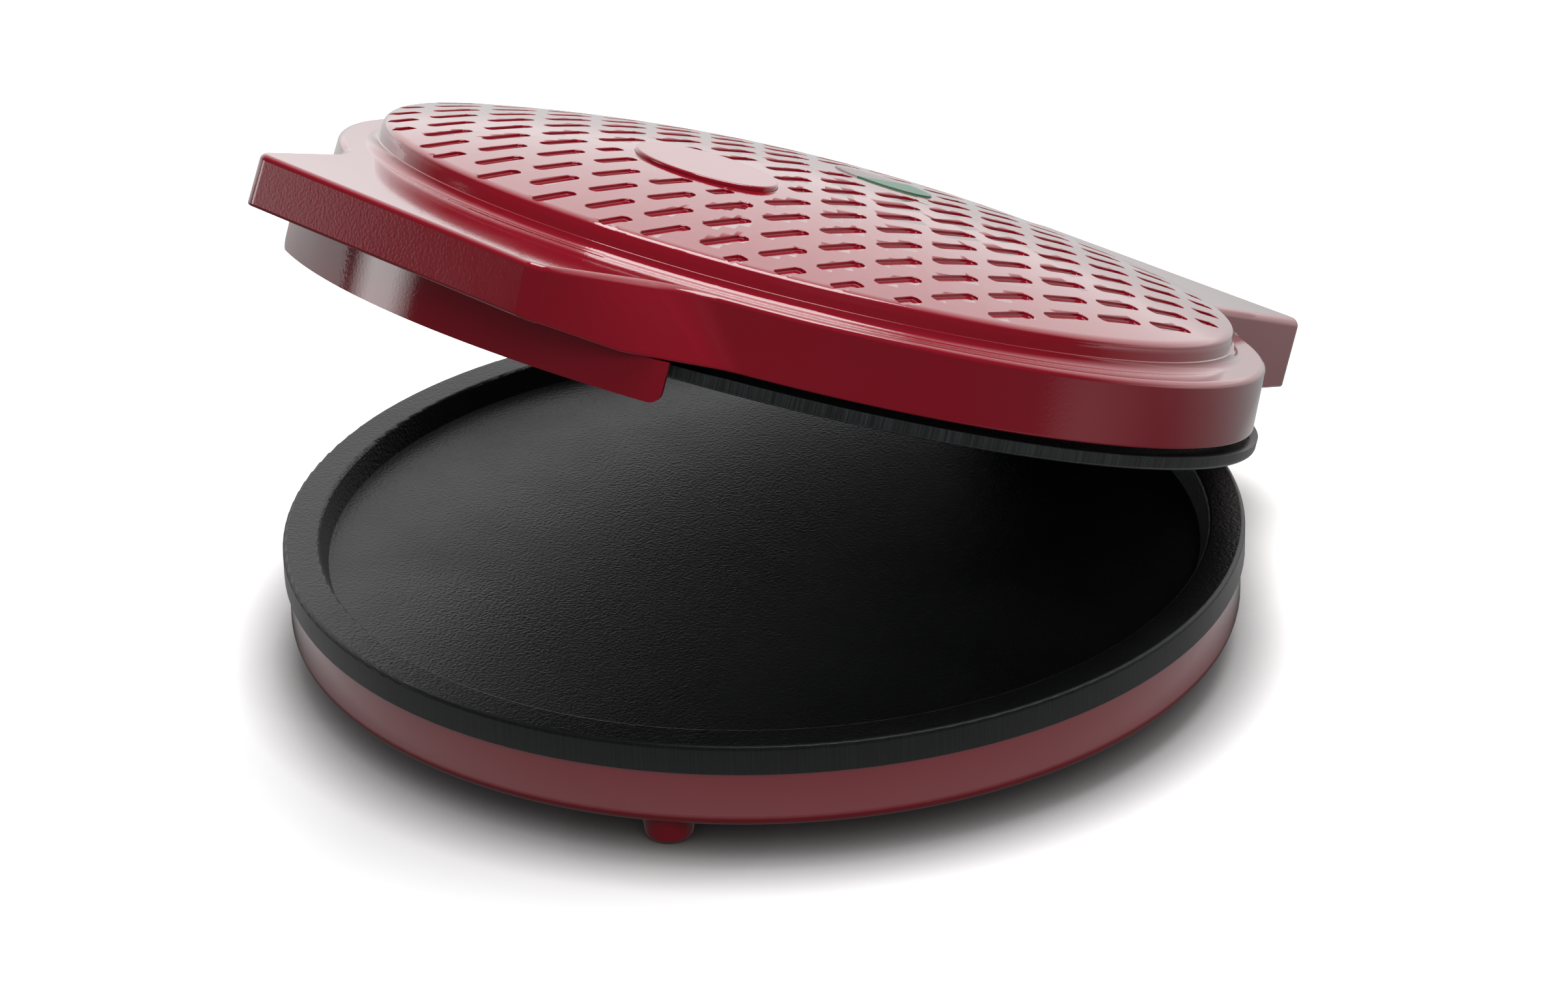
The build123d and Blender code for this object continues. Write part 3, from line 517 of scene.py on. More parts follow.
# Painted light: the same cast plate as the lower one, given a lighter rim tone and more of it, standing for
# the light that the upper rim catches
UPPER_CAST_PAINTED_LIGHTER = replace(
    LOWER_CAST,
    name="non_stick_upper_painted_lighter",
    lit=(0.12, 0.132, 0.135),
    show_lines_and_highlight=0.6,
    turned=Body.LID,
)
RUBBER = Finish("black_rubber", (0.012, 0.012, 0.012), (0.025, 0.025, 0.024), 0.65, 0.8, relief_depth=0.00002)
STEEL = Finish(
    "plated_steel",
    (0.60, 0.60, 0.58),
    (0.50, 0.50, 0.48),
    0.24,
    0.36,
    metallic=1.0,
    relief="fine_scratches",
    relief_sizes=(0.0002, 0.004),
    relief_depth=0.000004,
)
ALUMINIUM = replace(
    STEEL,
    name="rolled_aluminium",
    colour=(0.74, 0.75, 0.76),
    worn=(0.66, 0.67, 0.68),
    roughness=0.30,
    rough_worn=0.42,
    relief_sizes=(0.0004, 0.03),
    relief_depth=0.000006,
)
SHEATH = Finish("heater_sheath", (0.16, 0.15, 0.135), (0.08, 0.072, 0.065), 0.4, 0.55, metallic=0.9)
BLACK = Finish("black_plastic", (0.018, 0.018, 0.018), (0.03, 0.03, 0.03), 0.35, 0.5)
CLEAR = Finish(
    "clear_lens",
    (0.80, 0.62, 0.62),
    (0.74, 0.55, 0.56),
    0.12,
    0.2,
    transmission=0.35,
    relief_sizes=(0.0008, 0.01, 0.1),
    relief_depth=0.0001,
)
GREEN = replace(
    CLEAR,
    name="green_lens",
    colour=(0.012, 0.20, 0.115),
    worn=(0.008, 0.14, 0.085),
    roughness=0.1,
    rough_worn=0.16,
)


# Mesh tools


def loft(rings: Sequence[Ring]) -> Mesh:
    """Joins closed rings of equal length with quads and closes the first and the last.

    Args:
        rings: the rings from the bottom up, each run anticlockwise as seen from above.

    Returns:
        The mesh, with its faces outwards.
    """
    made = bmesh.new()
    rows = [[made.verts.new(p) for p in ring] for ring in rings]
    count = len(rings[0])
    for low, high in zip(rows, rows[1:]):
        for i in range(count):
            j = (i + 1) % count
            made.faces.new((low[i], low[j], high[j], high[i]))
    for row in (rows[0][::-1], rows[-1]):
        middle = made.verts.new(sum((v.co for v in row), Vector()) / count)
        for i in range(count):
            made.faces.new((row[i], row[(i + 1) % count], middle))
    return finished(made)


def finished(made: bmesh.types.BMesh) -> Mesh:
    """Turns a closed bmesh into a mesh, its doubles merged and its faces outwards."""
    bmesh.ops.remove_doubles(made, verts=made.verts, dist=1e-5)
    bmesh.ops.recalc_face_normals(made, faces=made.faces)
    mesh = bpy.data.meshes.new("drawn")
    made.to_mesh(mesh)
    made.free()
    return mesh


def arc(centre: Point, radius: float, start: float, end: float, steps: int) -> list[Point]:
    """Points along an arc, its ends among them; the angles are in degrees."""
    turns = (math.radians(start + (end - start) * i / steps) for i in range(steps + 1))
    return [(centre[0] + radius * math.cos(a), centre[1] + radius * math.sin(a)) for a in turns]


def polar(turn: float) -> Vector:
    """The way in plan that an angle points."""
    return Vector((math.cos(turn), math.sin(turn)))


def flipped(run: Outline, x: float = 1.0, y: float = 1.0) -> Outline:
    """A run of an outline with its places and ways turned over along an axis."""
    return [(Vector((x * p.x, y * p.y)), Vector((x * n.x, y * n.y))) for p, n in run]


def quarter(radius: float, steps: int) -> Iterable[Point]:
    """Steps of a quarter round: how far each lies from the round's first and last tangent."""
    for i in range(steps + 1):
        turn = math.radians(90 * i / steps)
        yield radius * (1 - math.cos(turn)), radius * (1 - math.sin(turn))


def prism(outline: Sequence[Sequence[float]], low: float, high: float) -> Mesh:
    """A straight solid over a plan outline."""
    return loft([[Vector((p[0], p[1], z)) for p in outline] for z in (low, high)])


def combine(first: Mesh, tools: Iterable[tuple[Cut, Mesh]]) -> Mesh:
    """Joins solids to a solid or cuts them out of it, one after the other.

    Args:
        first: the solid to start from.
        tools: what to do and with which solid.

    Returns:
        The new mesh. The meshes that went in are removed.
    """
    host = placed("host", first)
    helpers = []
    for cut, mesh in tools:
        helper = placed("helper", mesh)
        helpers.append(helper)
        modifier = host.modifiers.new("combine", "BOOLEAN")
        modifier.operation = cut.value
        modifier.object = helper
        modifier.solver = "EXACT"
    result = evaluated(host)
    for helper in [host, *helpers]:
        mesh = helper.data
        bpy.data.objects.remove(helper)
        bpy.data.meshes.remove(mesh)
    return result


def evaluated(host: Object) -> Mesh:
    """The mesh of an object with its modifiers, as plain data."""
    graph = bpy.context.evaluated_depsgraph_get()
    graph.update()
    return bpy.data.meshes.new_from_object(host.evaluated_get(graph), depsgraph=graph)


def grown(mesh: Mesh, tree: NodeTree, values: dict[str, Any]) -> Mesh:
    """What a geometry node tree makes of a mesh.

    Args:
        mesh: what the tree starts from.
        tree: the tree.
        values: its inputs by their names; the others keep their defaults.

    Returns:
        The result as plain data.
    """
    host = placed("grown", mesh)
    modifier = host.modifiers.new("grown", "NODES")
    modifier.node_group = tree
    for item in tree.interface.items_tree:
        if item.name in values:
            modifier[item.identifier] = values[item.name]
    made = evaluated(host)
    bpy.data.objects.remove(host)
    return made


def smooth(mesh: Mesh, angle: float = 35.0) -> Mesh:
    """Clears a mesh's slivers and shades it smoothly.

    Args:
        mesh: the mesh, which is removed.
        angle: how far two faces may turn from each other, in degrees, before their edge is sharp.

    Returns:
        The new mesh, its large faces leading the shading.
    """
    shaded = bmesh.new()
    shaded.from_mesh(mesh)
    bmesh.ops.remove_doubles(shaded, verts=shaded.verts, dist=SLIVER)
    bmesh.ops.dissolve_degenerate(shaded, edges=shaded.edges, dist=SLIVER)
    open_edges = [edge for edge in shaded.edges if len(edge.link_faces) == 1]
    if open_edges:
        bmesh.ops.holes_fill(shaded, edges=open_edges, sides=len(open_edges))
    for face in shaded.faces:
        face.smooth = True
    for edge in shaded.edges:
        edge.smooth = len(edge.link_faces) == 2 and edge.calc_face_angle(0.0) < math.radians(angle)
    shaded.to_mesh(mesh)
    shaded.free()
    host = placed("host", mesh)
    modifier = host.modifiers.new("lead", "WEIGHTED_NORMAL")
    modifier.keep_sharp = True
    modifier.weight = 100
    result = evaluated(host)
    bpy.data.objects.remove(host)
    bpy.data.meshes.remove(mesh)
    return result


def dress(mesh: Mesh, *finishes: Finish) -> Mesh:
    """Gives a mesh its materials, in the order of its face indices."""
    mesh.materials.clear()
    for finish in finishes:
        mesh.materials.append(finish.build())
    return mesh


# The lid


@dataclass
class LidCover:
    """Red moulded cover with its handle, stepped round top, pattern of slots and hinge block."""

    wall: float = 2.5
    open_below: float = 2.0
    skirt_bottom: float = 47.9
    skirt_bottom_r: float = 159.7
    skirt_rings: Point = (0.33, 0.66)
    ledge_z: float = 69.7
    ledge_r: float = 158.5
    ledge_round: float = 2.0
    lip_round: float = 0.9
    step_foot_r: float = 150.0
    step_line_r: float = 146.6
    step_line_z: float = 72.9
    step_w: float = 0.5
    step_round: float = 3.4
    line_rise: float = 0.2
    line_foot: float = 0.15
    shoulder_z: float = 76.6
    shoulder_r: float = 145.4
    shoulder_bend: float = 0.25
    shoulder_foot: Point = (0.35, 1.2)
    dome_r: float = 142.4
    dome_top: float = 94.7
    dome_rings: int = 26
    sphere_r: float = 666.9
    handle_y: float = -190.3
    handle_half: float = 66.0
    handle_corner: float = 7.0
    flanks: tuple[float, float] = (25.0, 12.4)
    roots: tuple[float, float] = (28.0, 30.0)
    edge_z: float = 52.6
    edge_back: float = -160.0
    block_y: float = 196.0
    block_half: float = 61.7
    block_flank: float = 14.2
    block_corner: float = 5.0
    block_root: float = 18.0
    block_top: float = 72.4
    block_slope: float = 4.7
    block_round: float = 3.0
    block_front: float = 100.0
    room_round: float = 0.5
    pitch_x: float = 12.92
    pitch_y: float = 26.67
    slot_l: float = 20.0
    slot_w: float = 4.5
    slot_depth: float = 1.15
    slot_end_r: float = 2.1
    slot_edge: float = 0.3
    slot_floor: float = 0.3
    shortest: float = 4.4
    field_r: float = 141.0
    field_y: float = -3.5
    margin: float = 3.6
    badge: Triple = (-56.0, 28.0, 18.0)
    lens: Triple = (31.0, 19.0, 13.5)
    badge_pocket: Triple = (0.25, -1.2, 3.0)
    lens_pocket: Triple = (0.15, -1.3, 3.0)
    lens_opening: Triple = (-1.5, -6.0, 0.0)
    lug_x: Point = (44.0, 50.0)
    lug_r: float = 7.0
    pin_bore_r: float = 3.05
    past: float = 1.0
    end_steps: int = 12
    corner_steps: int = 10
    flank_steps: int = 8
    root_steps: int = 16
    skirt_steps: int = 110
    handle_boss: tuple[float, ...] = (38.0, -176.0, 68.0, 66.0)
    carrier_boss: tuple[float, ...] = (18.0, 162.0, 74.0, 67.0)
    boss_r: float = 5.0
    boss_bore_r: float = 2.0
    boss_low: float = 56.8
    boss_bore_past: float = 0.8

    def dome_z(self, x: float, y: float) -> float:
        """Height of the dome's outer surface above a point."""
        return self.dome_top - self.sphere_r + math.sqrt(self.sphere_r**2 - x * x - y * y)

    def dome_frame(self, x: float, y: float) -> Matrix:
        """Frame on the dome above a point, its Z along the normal and its X across."""
        place = Vector((x, y, self.dome_z(x, y)))
        normal = (place - Vector((0, 0, self.dome_top - self.sphere_r))).normalized()
        across = Vector((1, 0, -normal.x / normal.z)).normalized()
        turn = Matrix((across, normal.cross(across), normal)).transposed().to_4x4()
        return Matrix.Translation(place) @ turn

    def plan(self, level: float, inset: float = 0.0) -> Outline:
        """Outline of the lid at one level.

        Args:
            level: 0 at the skirt's lower edge and 1 at the ledge.
            inset: how far inside the outline the points lie.

        Returns:
            Points in plan and what points outwards there, anticlockwise from the handle's middle.
        """
        half: Outline = []
        low, high = (self.half_plan(i) for i in (0, 1))
        for (p, m), (q, n) in zip(low, high):
            point, way = p.lerp(q, level), m.lerp(n, level).normalized()
            half.append((point - way * inset, way))
        return half + flipped(half[-2:0:-1], x=-1)

    def half_plan(self, which: int) -> Outline:
        """Right half of the outline at the lower edge or at the ledge, front to back."""
        skirt = (self.skirt_bottom_r, self.ledge_r)[which]
        handle = (-self.handle_y, self.handle_half, self.handle_corner, self.flanks[which], self.roots[which])
        front, rear = self.side_run(*handle, skirt), self.block_run(skirt)
        first, last = front[-1][0], rear[-1][0]
        start, end = math.atan2(-first.y, first.x), math.atan2(last.y, last.x)
        count = self.skirt_steps
        ways = [polar(start + (end - start) * i / count) for i in range(1, count)]
        return flipped(front, y=-1) + [(way * skirt, way) for way in ways] + rear[::-1]

    def block_run(self, skirt: float) -> Outline:
        """Side of the hinge block, from the middle of its end to the skirt."""
        return self.side_run(
            self.block_y, self.block_half, self.block_corner, self.block_flank, self.block_root, skirt
        )

    def side_run(
        self, reach: float, half: float, corner: float, flank: float, root: float, skirt: float
    ) -> Outline:
        """A handle or block side, from the middle of its end to where its root meets the skirt.

        Args:
            reach: how far its end lies from the middle of the lid, along +Y.
            half: half the width of its end.
            corner: the radius of its corner.
            flank: the angle of its flank to the Y axis, in degrees.
            root: the radius where it meets the skirt.
            skirt: the radius of the skirt.

        Returns:
            Points and outward ways, all at positive X.
        """
        f = math.radians(flank)
        n, d = polar(f), polar(f - math.pi / 2)
        away = half * n.x + reach * n.y
        corner_x = (away - corner - (reach - corner) * n.y) / n.x
        count = self.end_steps
        run = [(Vector((corner_x * i / count, reach)), Vector((0, 1))) for i in range(count)]
        centre = Vector((corner_x, reach - corner))
        for i in range(self.corner_steps + 1):
            turn = math.pi / 2 + (f - math.pi / 2) * i / self.corner_steps
            way = polar(turn)
            run.append((centre + way * corner, way))
        outer = away + root
        hub = n * outer - d * math.sqrt((skirt + root) ** 2 - outer**2)
        begin, first = run[-1][0], hub - n * root
        count = self.flank_steps
        run += [(begin.lerp(first, i / count), n.copy()) for i in range(1, count)]
        angle_0, angle_1 = math.atan2(-n.y, -n.x), math.atan2(-hub.y, -hub.x)
        if angle_1 - angle_0 > math.pi:
            angle_1 -= 2 * math.pi
        if angle_0 - angle_1 > math.pi:
            angle_1 += 2 * math.pi
        for i in range(self.root_steps + 1):
            turn = angle_0 + (angle_1 - angle_0) * i / self.root_steps
            way = polar(turn)
            run.append((hub + way * root, -way))
        return run

    def edge_height(self, y: float) -> float:
        """Height of the lower edge, which rises to the front of the handle."""
        rise = (self.edge_back - y) / (self.edge_back - self.handle_y)
        return self.skirt_bottom + (self.edge_z - self.skirt_bottom) * max(0.0, rise)

    def edge_low(self, place: Vector) -> float:
        """Height where the lower edge's round ends."""
        return self.edge_height(place.y) + self.lip_round

    def ring(self, height: Callable[[Vector], float], inset: float) -> Ring:
        """Ring of the outline at a height that may depend on the place in plan."""
        made: Ring = []
        lows, highs = self.plan(0.0, inset), self.plan(1.0, inset)
        for (p, _), (q, _) in zip(lows, highs):
            z = height(p)
            for _ in range(2):
                place = p.lerp(q, (z - self.skirt_bottom) / (self.ledge_z - self.skirt_bottom))
                z = height(place)
            made.append(Vector((place.x, place.y, z)))
        return made

    def top_rings(self, ring: Ring, drop: float) -> list[Ring]:
        """Rings of the step and dome inside a ring, at its angles.

        Args:
            ring: the ring that gives the angles.
            drop: how far the surface lies inside the outer one, along the radius and down.
        """
        line_r = self.step_line_r - self.step_w
        sections = arc((self.step_foot_r, self.step_line_z + self.line_rise), self.step_round, -90, -175, 7)
        line = (line_r + self.line_foot, self.step_line_z), (line_r, self.step_line_z + self.line_rise)
        out, down = self.shoulder_foot
        sections += [*line, (self.shoulder_r + out, self.shoulder_z - down)]
        bend_r = self.shoulder_r - self.shoulder_bend
        begin, bend = (self.shoulder_r, self.shoulder_z), (bend_r, self.dome_z(bend_r, 0))
        end = (self.dome_r, self.dome_z(self.dome_r, 0))
        for i in range(9):
            t = i / 8
            a, b, c = (1 - t) ** 2, 2 * t * (1 - t), t * t
            sections.append(tuple(a * p + b * q + c * v for p, q, v in zip(begin, bend, end)))
        radii = [self.dome_r * (1 - i / self.dome_rings) for i in range(1, self.dome_rings)]
        sections += [(r, self.dome_z(r, 0)) for r in radii]
        made = []
        for r, z in sections:
            shrink = drop if r > self.dome_r * 0.5 else drop * r / (self.dome_r * 0.5)
            turns = (math.atan2(p.y, p.x) for p in ring)
            reach = r - shrink
            made.append([Vector((math.cos(a) * reach, math.sin(a) * reach, z - drop)) for a in turns])
        return made

    def body(self) -> Mesh:
        """Outside of the skirt, handle, ledge, step and dome, as a solid."""
        rings = []
        for rise, inset in quarter(self.lip_round, 4):
            rings.append(self.ring(lambda p, rise=rise: self.edge_height(p.y) + rise, inset))
        high = self.ledge_z - self.ledge_round
        for share in self.skirt_rings:
            rings.append(self.ring(lambda p, s=share: self.edge_low(p) * (1 - s) + high * s, 0.0))
        for inset, sink in quarter(self.ledge_round, 7):
            rings.append(self.ring(lambda p, z=self.ledge_z - sink: z, inset))
        return loft(rings + self.top_rings(rings[-1], 0.0))

    def room(self) -> Mesh:
        """Hollow under the skirt, handle, ledge, step and dome, as a solid."""
        ceiling = self.ledge_z - self.wall
        foot = self.ring(lambda p: self.edge_height(p.y) - self.open_below, self.wall)
        top = self.ring(lambda p: ceiling, self.wall)
        return loft([foot, top, *self.top_rings(top, self.wall)])

    def block(self, inset: float) -> Mesh:
        """The raised hinge block, or the room inside it.

        Args:
            inset: 0 for the block and the wall's thickness for the room.
        """
        flank = math.radians(self.block_flank)
        slope = math.tan(math.radians(self.block_slope))
        half = self.block_run(self.ledge_r)
        straight = self.end_steps + self.corner_steps + self.flank_steps
        last, way = half[straight - 1]
        end = last + polar(flank - math.pi / 2) * (last.y - self.block_front) / math.cos(flank)
        half = half[:straight] + [(end, way)]
        outline = [(p - n * inset, n) for p, n in half]
        outline = (flipped(outline[:0:-1], x=-1) + outline)[::-1]
        low = self.skirt_bottom - (self.open_below if inset else 0.0)
        rings: list[Ring] = []
        for rise, pull in [(0.0, 0.0)] if inset else quarter(self.lip_round, 4):
            rings.append([Vector((*(p - n * pull), low + rise)) for p, n in outline])
        for pull, sink in quarter(self.room_round if inset else self.block_round, 6):
            high = self.block_top - inset - sink
            plan = [p - n * pull for p, n in outline]
            rings.append([Vector((*q, high + (self.block_y - q.y) * slope)) for q in plan])
        return loft(rings)

    def slot_rows(self) -> Iterable[Triple]:
        """Middle and length of every slot in the dome."""
        columns = int(self.field_r // self.pitch_x)
        count = int(self.field_r // self.pitch_y) + 1
        for column in range(-columns, columns + 1):
            x = column * self.pitch_x
            start = self.field_y + (0 if column % 2 else self.pitch_y / 2)
            reach = math.sqrt(self.field_r**2 - x * x)
            blocked = []
            for middle, half_x, half_y in (self.badge, self.lens):
                wide, deep = half_x + self.margin + self.slot_w / 2, half_y + self.margin
                if abs(x) < wide:
                    half = deep * math.sqrt(1 - (x / wide) ** 2)
                    blocked.append((middle - half, middle + half))
            for row in range(-count, count + 1):
                middle = start + row * self.pitch_y
                begin = max(middle - self.slot_l / 2, self.field_y - reach)
                pieces = [(begin, min(middle + self.slot_l / 2, self.field_y + reach))]
                for low, high in blocked:
                    pieces = [cut for a, b in pieces for cut in ((a, min(b, low)), (max(a, high), b))]
                for a, b in pieces:
                    if b - a >= self.shortest:
                        yield x, (a + b) / 2, b - a

    def oval(self, spec: Triple, grow: float, low: float, high: float) -> Mesh:
        """Straight oval solid that stands on the dome's normal, for a pocket or an opening."""
        middle, a, b = spec
        frame = self.dome_frame(0, middle)
        turns = [math.tau * i / 96 for i in range(96)]
        plan = [((a + grow) * math.cos(t), (b + grow) * math.sin(t)) for t in turns]
        return loft([[frame @ Vector((x, y, z)) for x, y in plan] for z in (low, high)])

    def lug(self, side: Side) -> Mesh:
        """One of the two lugs that hang from the block and turn on a pin."""
        y, z, r, top = PLACING.hinge_y, PLACING.hinge_z, self.lug_r, self.block_top - self.past
        outline = [(y + r, top), *arc((y, z), r, 0, -180, 24), (y - r, top)]
        return loft([[Vector((side.value * x, p, q)) for p, q in outline] for x in self.lug_x])

    def pin_bore(self, side: Side) -> Mesh:
        """The pin's hole through a lug."""
        points = arc((PLACING.hinge_y, PLACING.hinge_z), self.pin_bore_r, 0, 345, 23)
        ends = (self.lug_x[0] - self.past, self.lug_x[1] + self.past)
        return loft([[Vector((side.value * x, p, q)) for p, q in points] for x in ends])

    def boss(self, x: float, y: float, top: float, radius: float, low: float) -> Mesh:
        """A screw boss or its hole, under the cover's top."""
        return prism([(x + px, y + py) for px, py in arc((0, 0), radius, 0, 345, 23)], low, top)

    def slot_tree(self) -> NodeTree:
        """Geometry nodes that put a slot's cutter on the dome at every point."""
        sizes = {
            "Length": self.slot_l,
            "Width": self.slot_w,
            "Depth": self.slot_depth,
            "End Radius": self.slot_end_r,
            "Edge": self.slot_edge,
            "Floor Edge": self.slot_floor,
            "Dome Top": self.dome_top,
            "Sphere Radius": self.sphere_r,
        }
        group, make = geometry_group("dome_slots", sizes)
        given = make.node("NodeGroupInput").outputs
        edge, floor_edge = given["Edge"], given["Floor Edge"]
        grid = {"Size": (1, 1, 1), "Vertices X": 2, "Vertices Y": 8, "Vertices Z": 4}
        block = make.node("GeometryNodeMeshCube", grid)
        at = make.parts(make.node("GeometryNodeInputPosition").outputs[0])
        turn = make.span(make.math("ABSOLUTE", at[1]), 0.5 / 7, 0.5, 0.0, math.radians(78.0))
        above = make.math("GREATER_THAN", at[2], 0.3)
        upper = make.math("GREATER_THAN", at[2], 0.0)
        lower = make.minus(1.0, upper)
        floor = make.math("LESS_THAN", at[2], -0.3)
        # A wider mouth softens the slot's edge, and a narrower floor its bottom
        mouth = make.times(above, make.times(edge, 2.0))
        spread = make.minus(mouth, make.times(floor, floor_edge))
        narrow = make.times(make.minus(1.0, make.math("COSINE", turn)), given["End Radius"])
        half_x = make.minus(make.times(given["Width"], 0.5), narrow)
        mid_y = make.minus(make.times(given["Length"], 0.5), given["End Radius"])
        half_y = make.math("MULTIPLY_ADD", make.math("SINE", turn), given["End Radius"], mid_y)
        x = make.times(make.math("SIGN", at[0]), make.plus(half_x, spread))
        y = make.times(make.math("SIGN", at[1]), make.plus(half_y, spread))
        deep = make.times(lower, make.times(given["Depth"], -1.0))
        foot = make.times(make.minus(lower, floor), floor_edge)
        lip = make.times(make.minus(upper, above), make.times(edge, -1.0))
        z = make.plus(make.plus(deep, foot), make.plus(lip, make.times(above, edge)))
        to = {"Geometry": block.outputs[0], "Position": make.xyz(x, y, z)}
        shaped = make.node("GeometryNodeSetPosition", to)
        # Each place rises to the dome, and its cutter leans with the surface
        plan = make.parts(make.node("GeometryNodeInputPosition").outputs[0])
        square = make.plus(make.times(plan[0], plan[0]), make.times(plan[1], plan[1]))
        big = make.times(given["Sphere Radius"], given["Sphere Radius"])
        centre = make.minus(given["Dome Top"], given["Sphere Radius"])
        height = make.plus(centre, make.math("SQRT", make.minus(big, square)))
        raised = {"Geometry": given["Places"], "Position": make.xyz(plan[0], plan[1], height)}
        places = make.node("GeometryNodeSetPosition", raised)
        out = make.xyz(plan[0], plan[1], make.minus(plan[2], centre))
        lean = make.node("FunctionNodeAlignRotationToVector", {"Vector": out}, axis="Z")
        length = make.node("GeometryNodeInputNamedAttribute", {"Name": "length"}, data_type="FLOAT")
        put = {
            "Points": places.outputs[0],
            "Instance": shaped.outputs[0],
            "Rotation": lean.outputs[0],
            "Scale": make.xyz(1.0, make.over(length.outputs[0], given["Length"]), 1.0),
        }
        end_group(make, make.node("GeometryNodeInstanceOnPoints", put).outputs[0], given["Finish"])
        return group

    def slot_cutters(self) -> Mesh:
        """Every slot's cutter, as one mesh."""
        rows = list(self.slot_rows())
        mesh = bpy.data.meshes.new("slot_places")
        mesh.from_pydata([(x, y, 0.0) for x, y, _ in rows], [], [])
        lengths = mesh.attributes.new("length", "FLOAT", "POINT")
        lengths.data.foreach_set("value", [length for _, _, length in rows])
        LOG.info("slots: %d", len(rows))
        return grown(mesh, self.slot_tree(), {"Finish": CRIMSON.build()})

    def build(self, placing: Placing) -> None:
        """Makes the cover and puts it on the lid."""
        parts: list[tuple[Cut, Mesh]] = [
            (Cut.JOIN, self.block(0.0)),
            (Cut.REMOVE, self.room()),
            (Cut.REMOVE, self.block(self.wall)),
        ]
        for side in Side:
            parts += [(Cut.JOIN, self.lug(side)), (Cut.REMOVE, self.pin_bore(side))]
            for x, y, top, bore_top in (self.handle_boss, self.carrier_boss):
                place = (side.value * x, y)
                parts.append((Cut.JOIN, self.boss(*place, top, self.boss_r, self.boss_low)))
                low = self.boss_low - self.boss_bore_past
                parts.append((Cut.REMOVE, self.boss(*place, bore_top, self.boss_bore_r, low)))
        parts += [
            (Cut.REMOVE, self.oval(self.badge, *self.badge_pocket)),
            (Cut.REMOVE, self.oval(self.lens, *self.lens_pocket)),
            (Cut.REMOVE, self.oval(self.lens, *self.lens_opening)),
            (Cut.REMOVE, self.slot_cutters()),
        ]
        mesh = smooth(combine(self.body(), parts), 50.0)
        placing.piece("lid_cover_moulding", dress(mesh, CRIMSON), Body.LID, "red_plastic", "lid_cover")


# Screws


@dataclass(frozen=True)
class ScrewSet:
    """One node's screws: their places in plan, the face under their heads and how far they go from it."""

    node: str
    body: Body
    places: tuple[tuple[float, float], ...]
    seat: float
    length: float
    sides: int = 6


def round_places(radius: float, count: int, start: float) -> tuple[tuple[float, float], ...]:
    """Even places on a circle; the start is in degrees."""
    return tuple(arc((0, 0), radius, start, start + 360 * (count - 1) / count, count - 1))


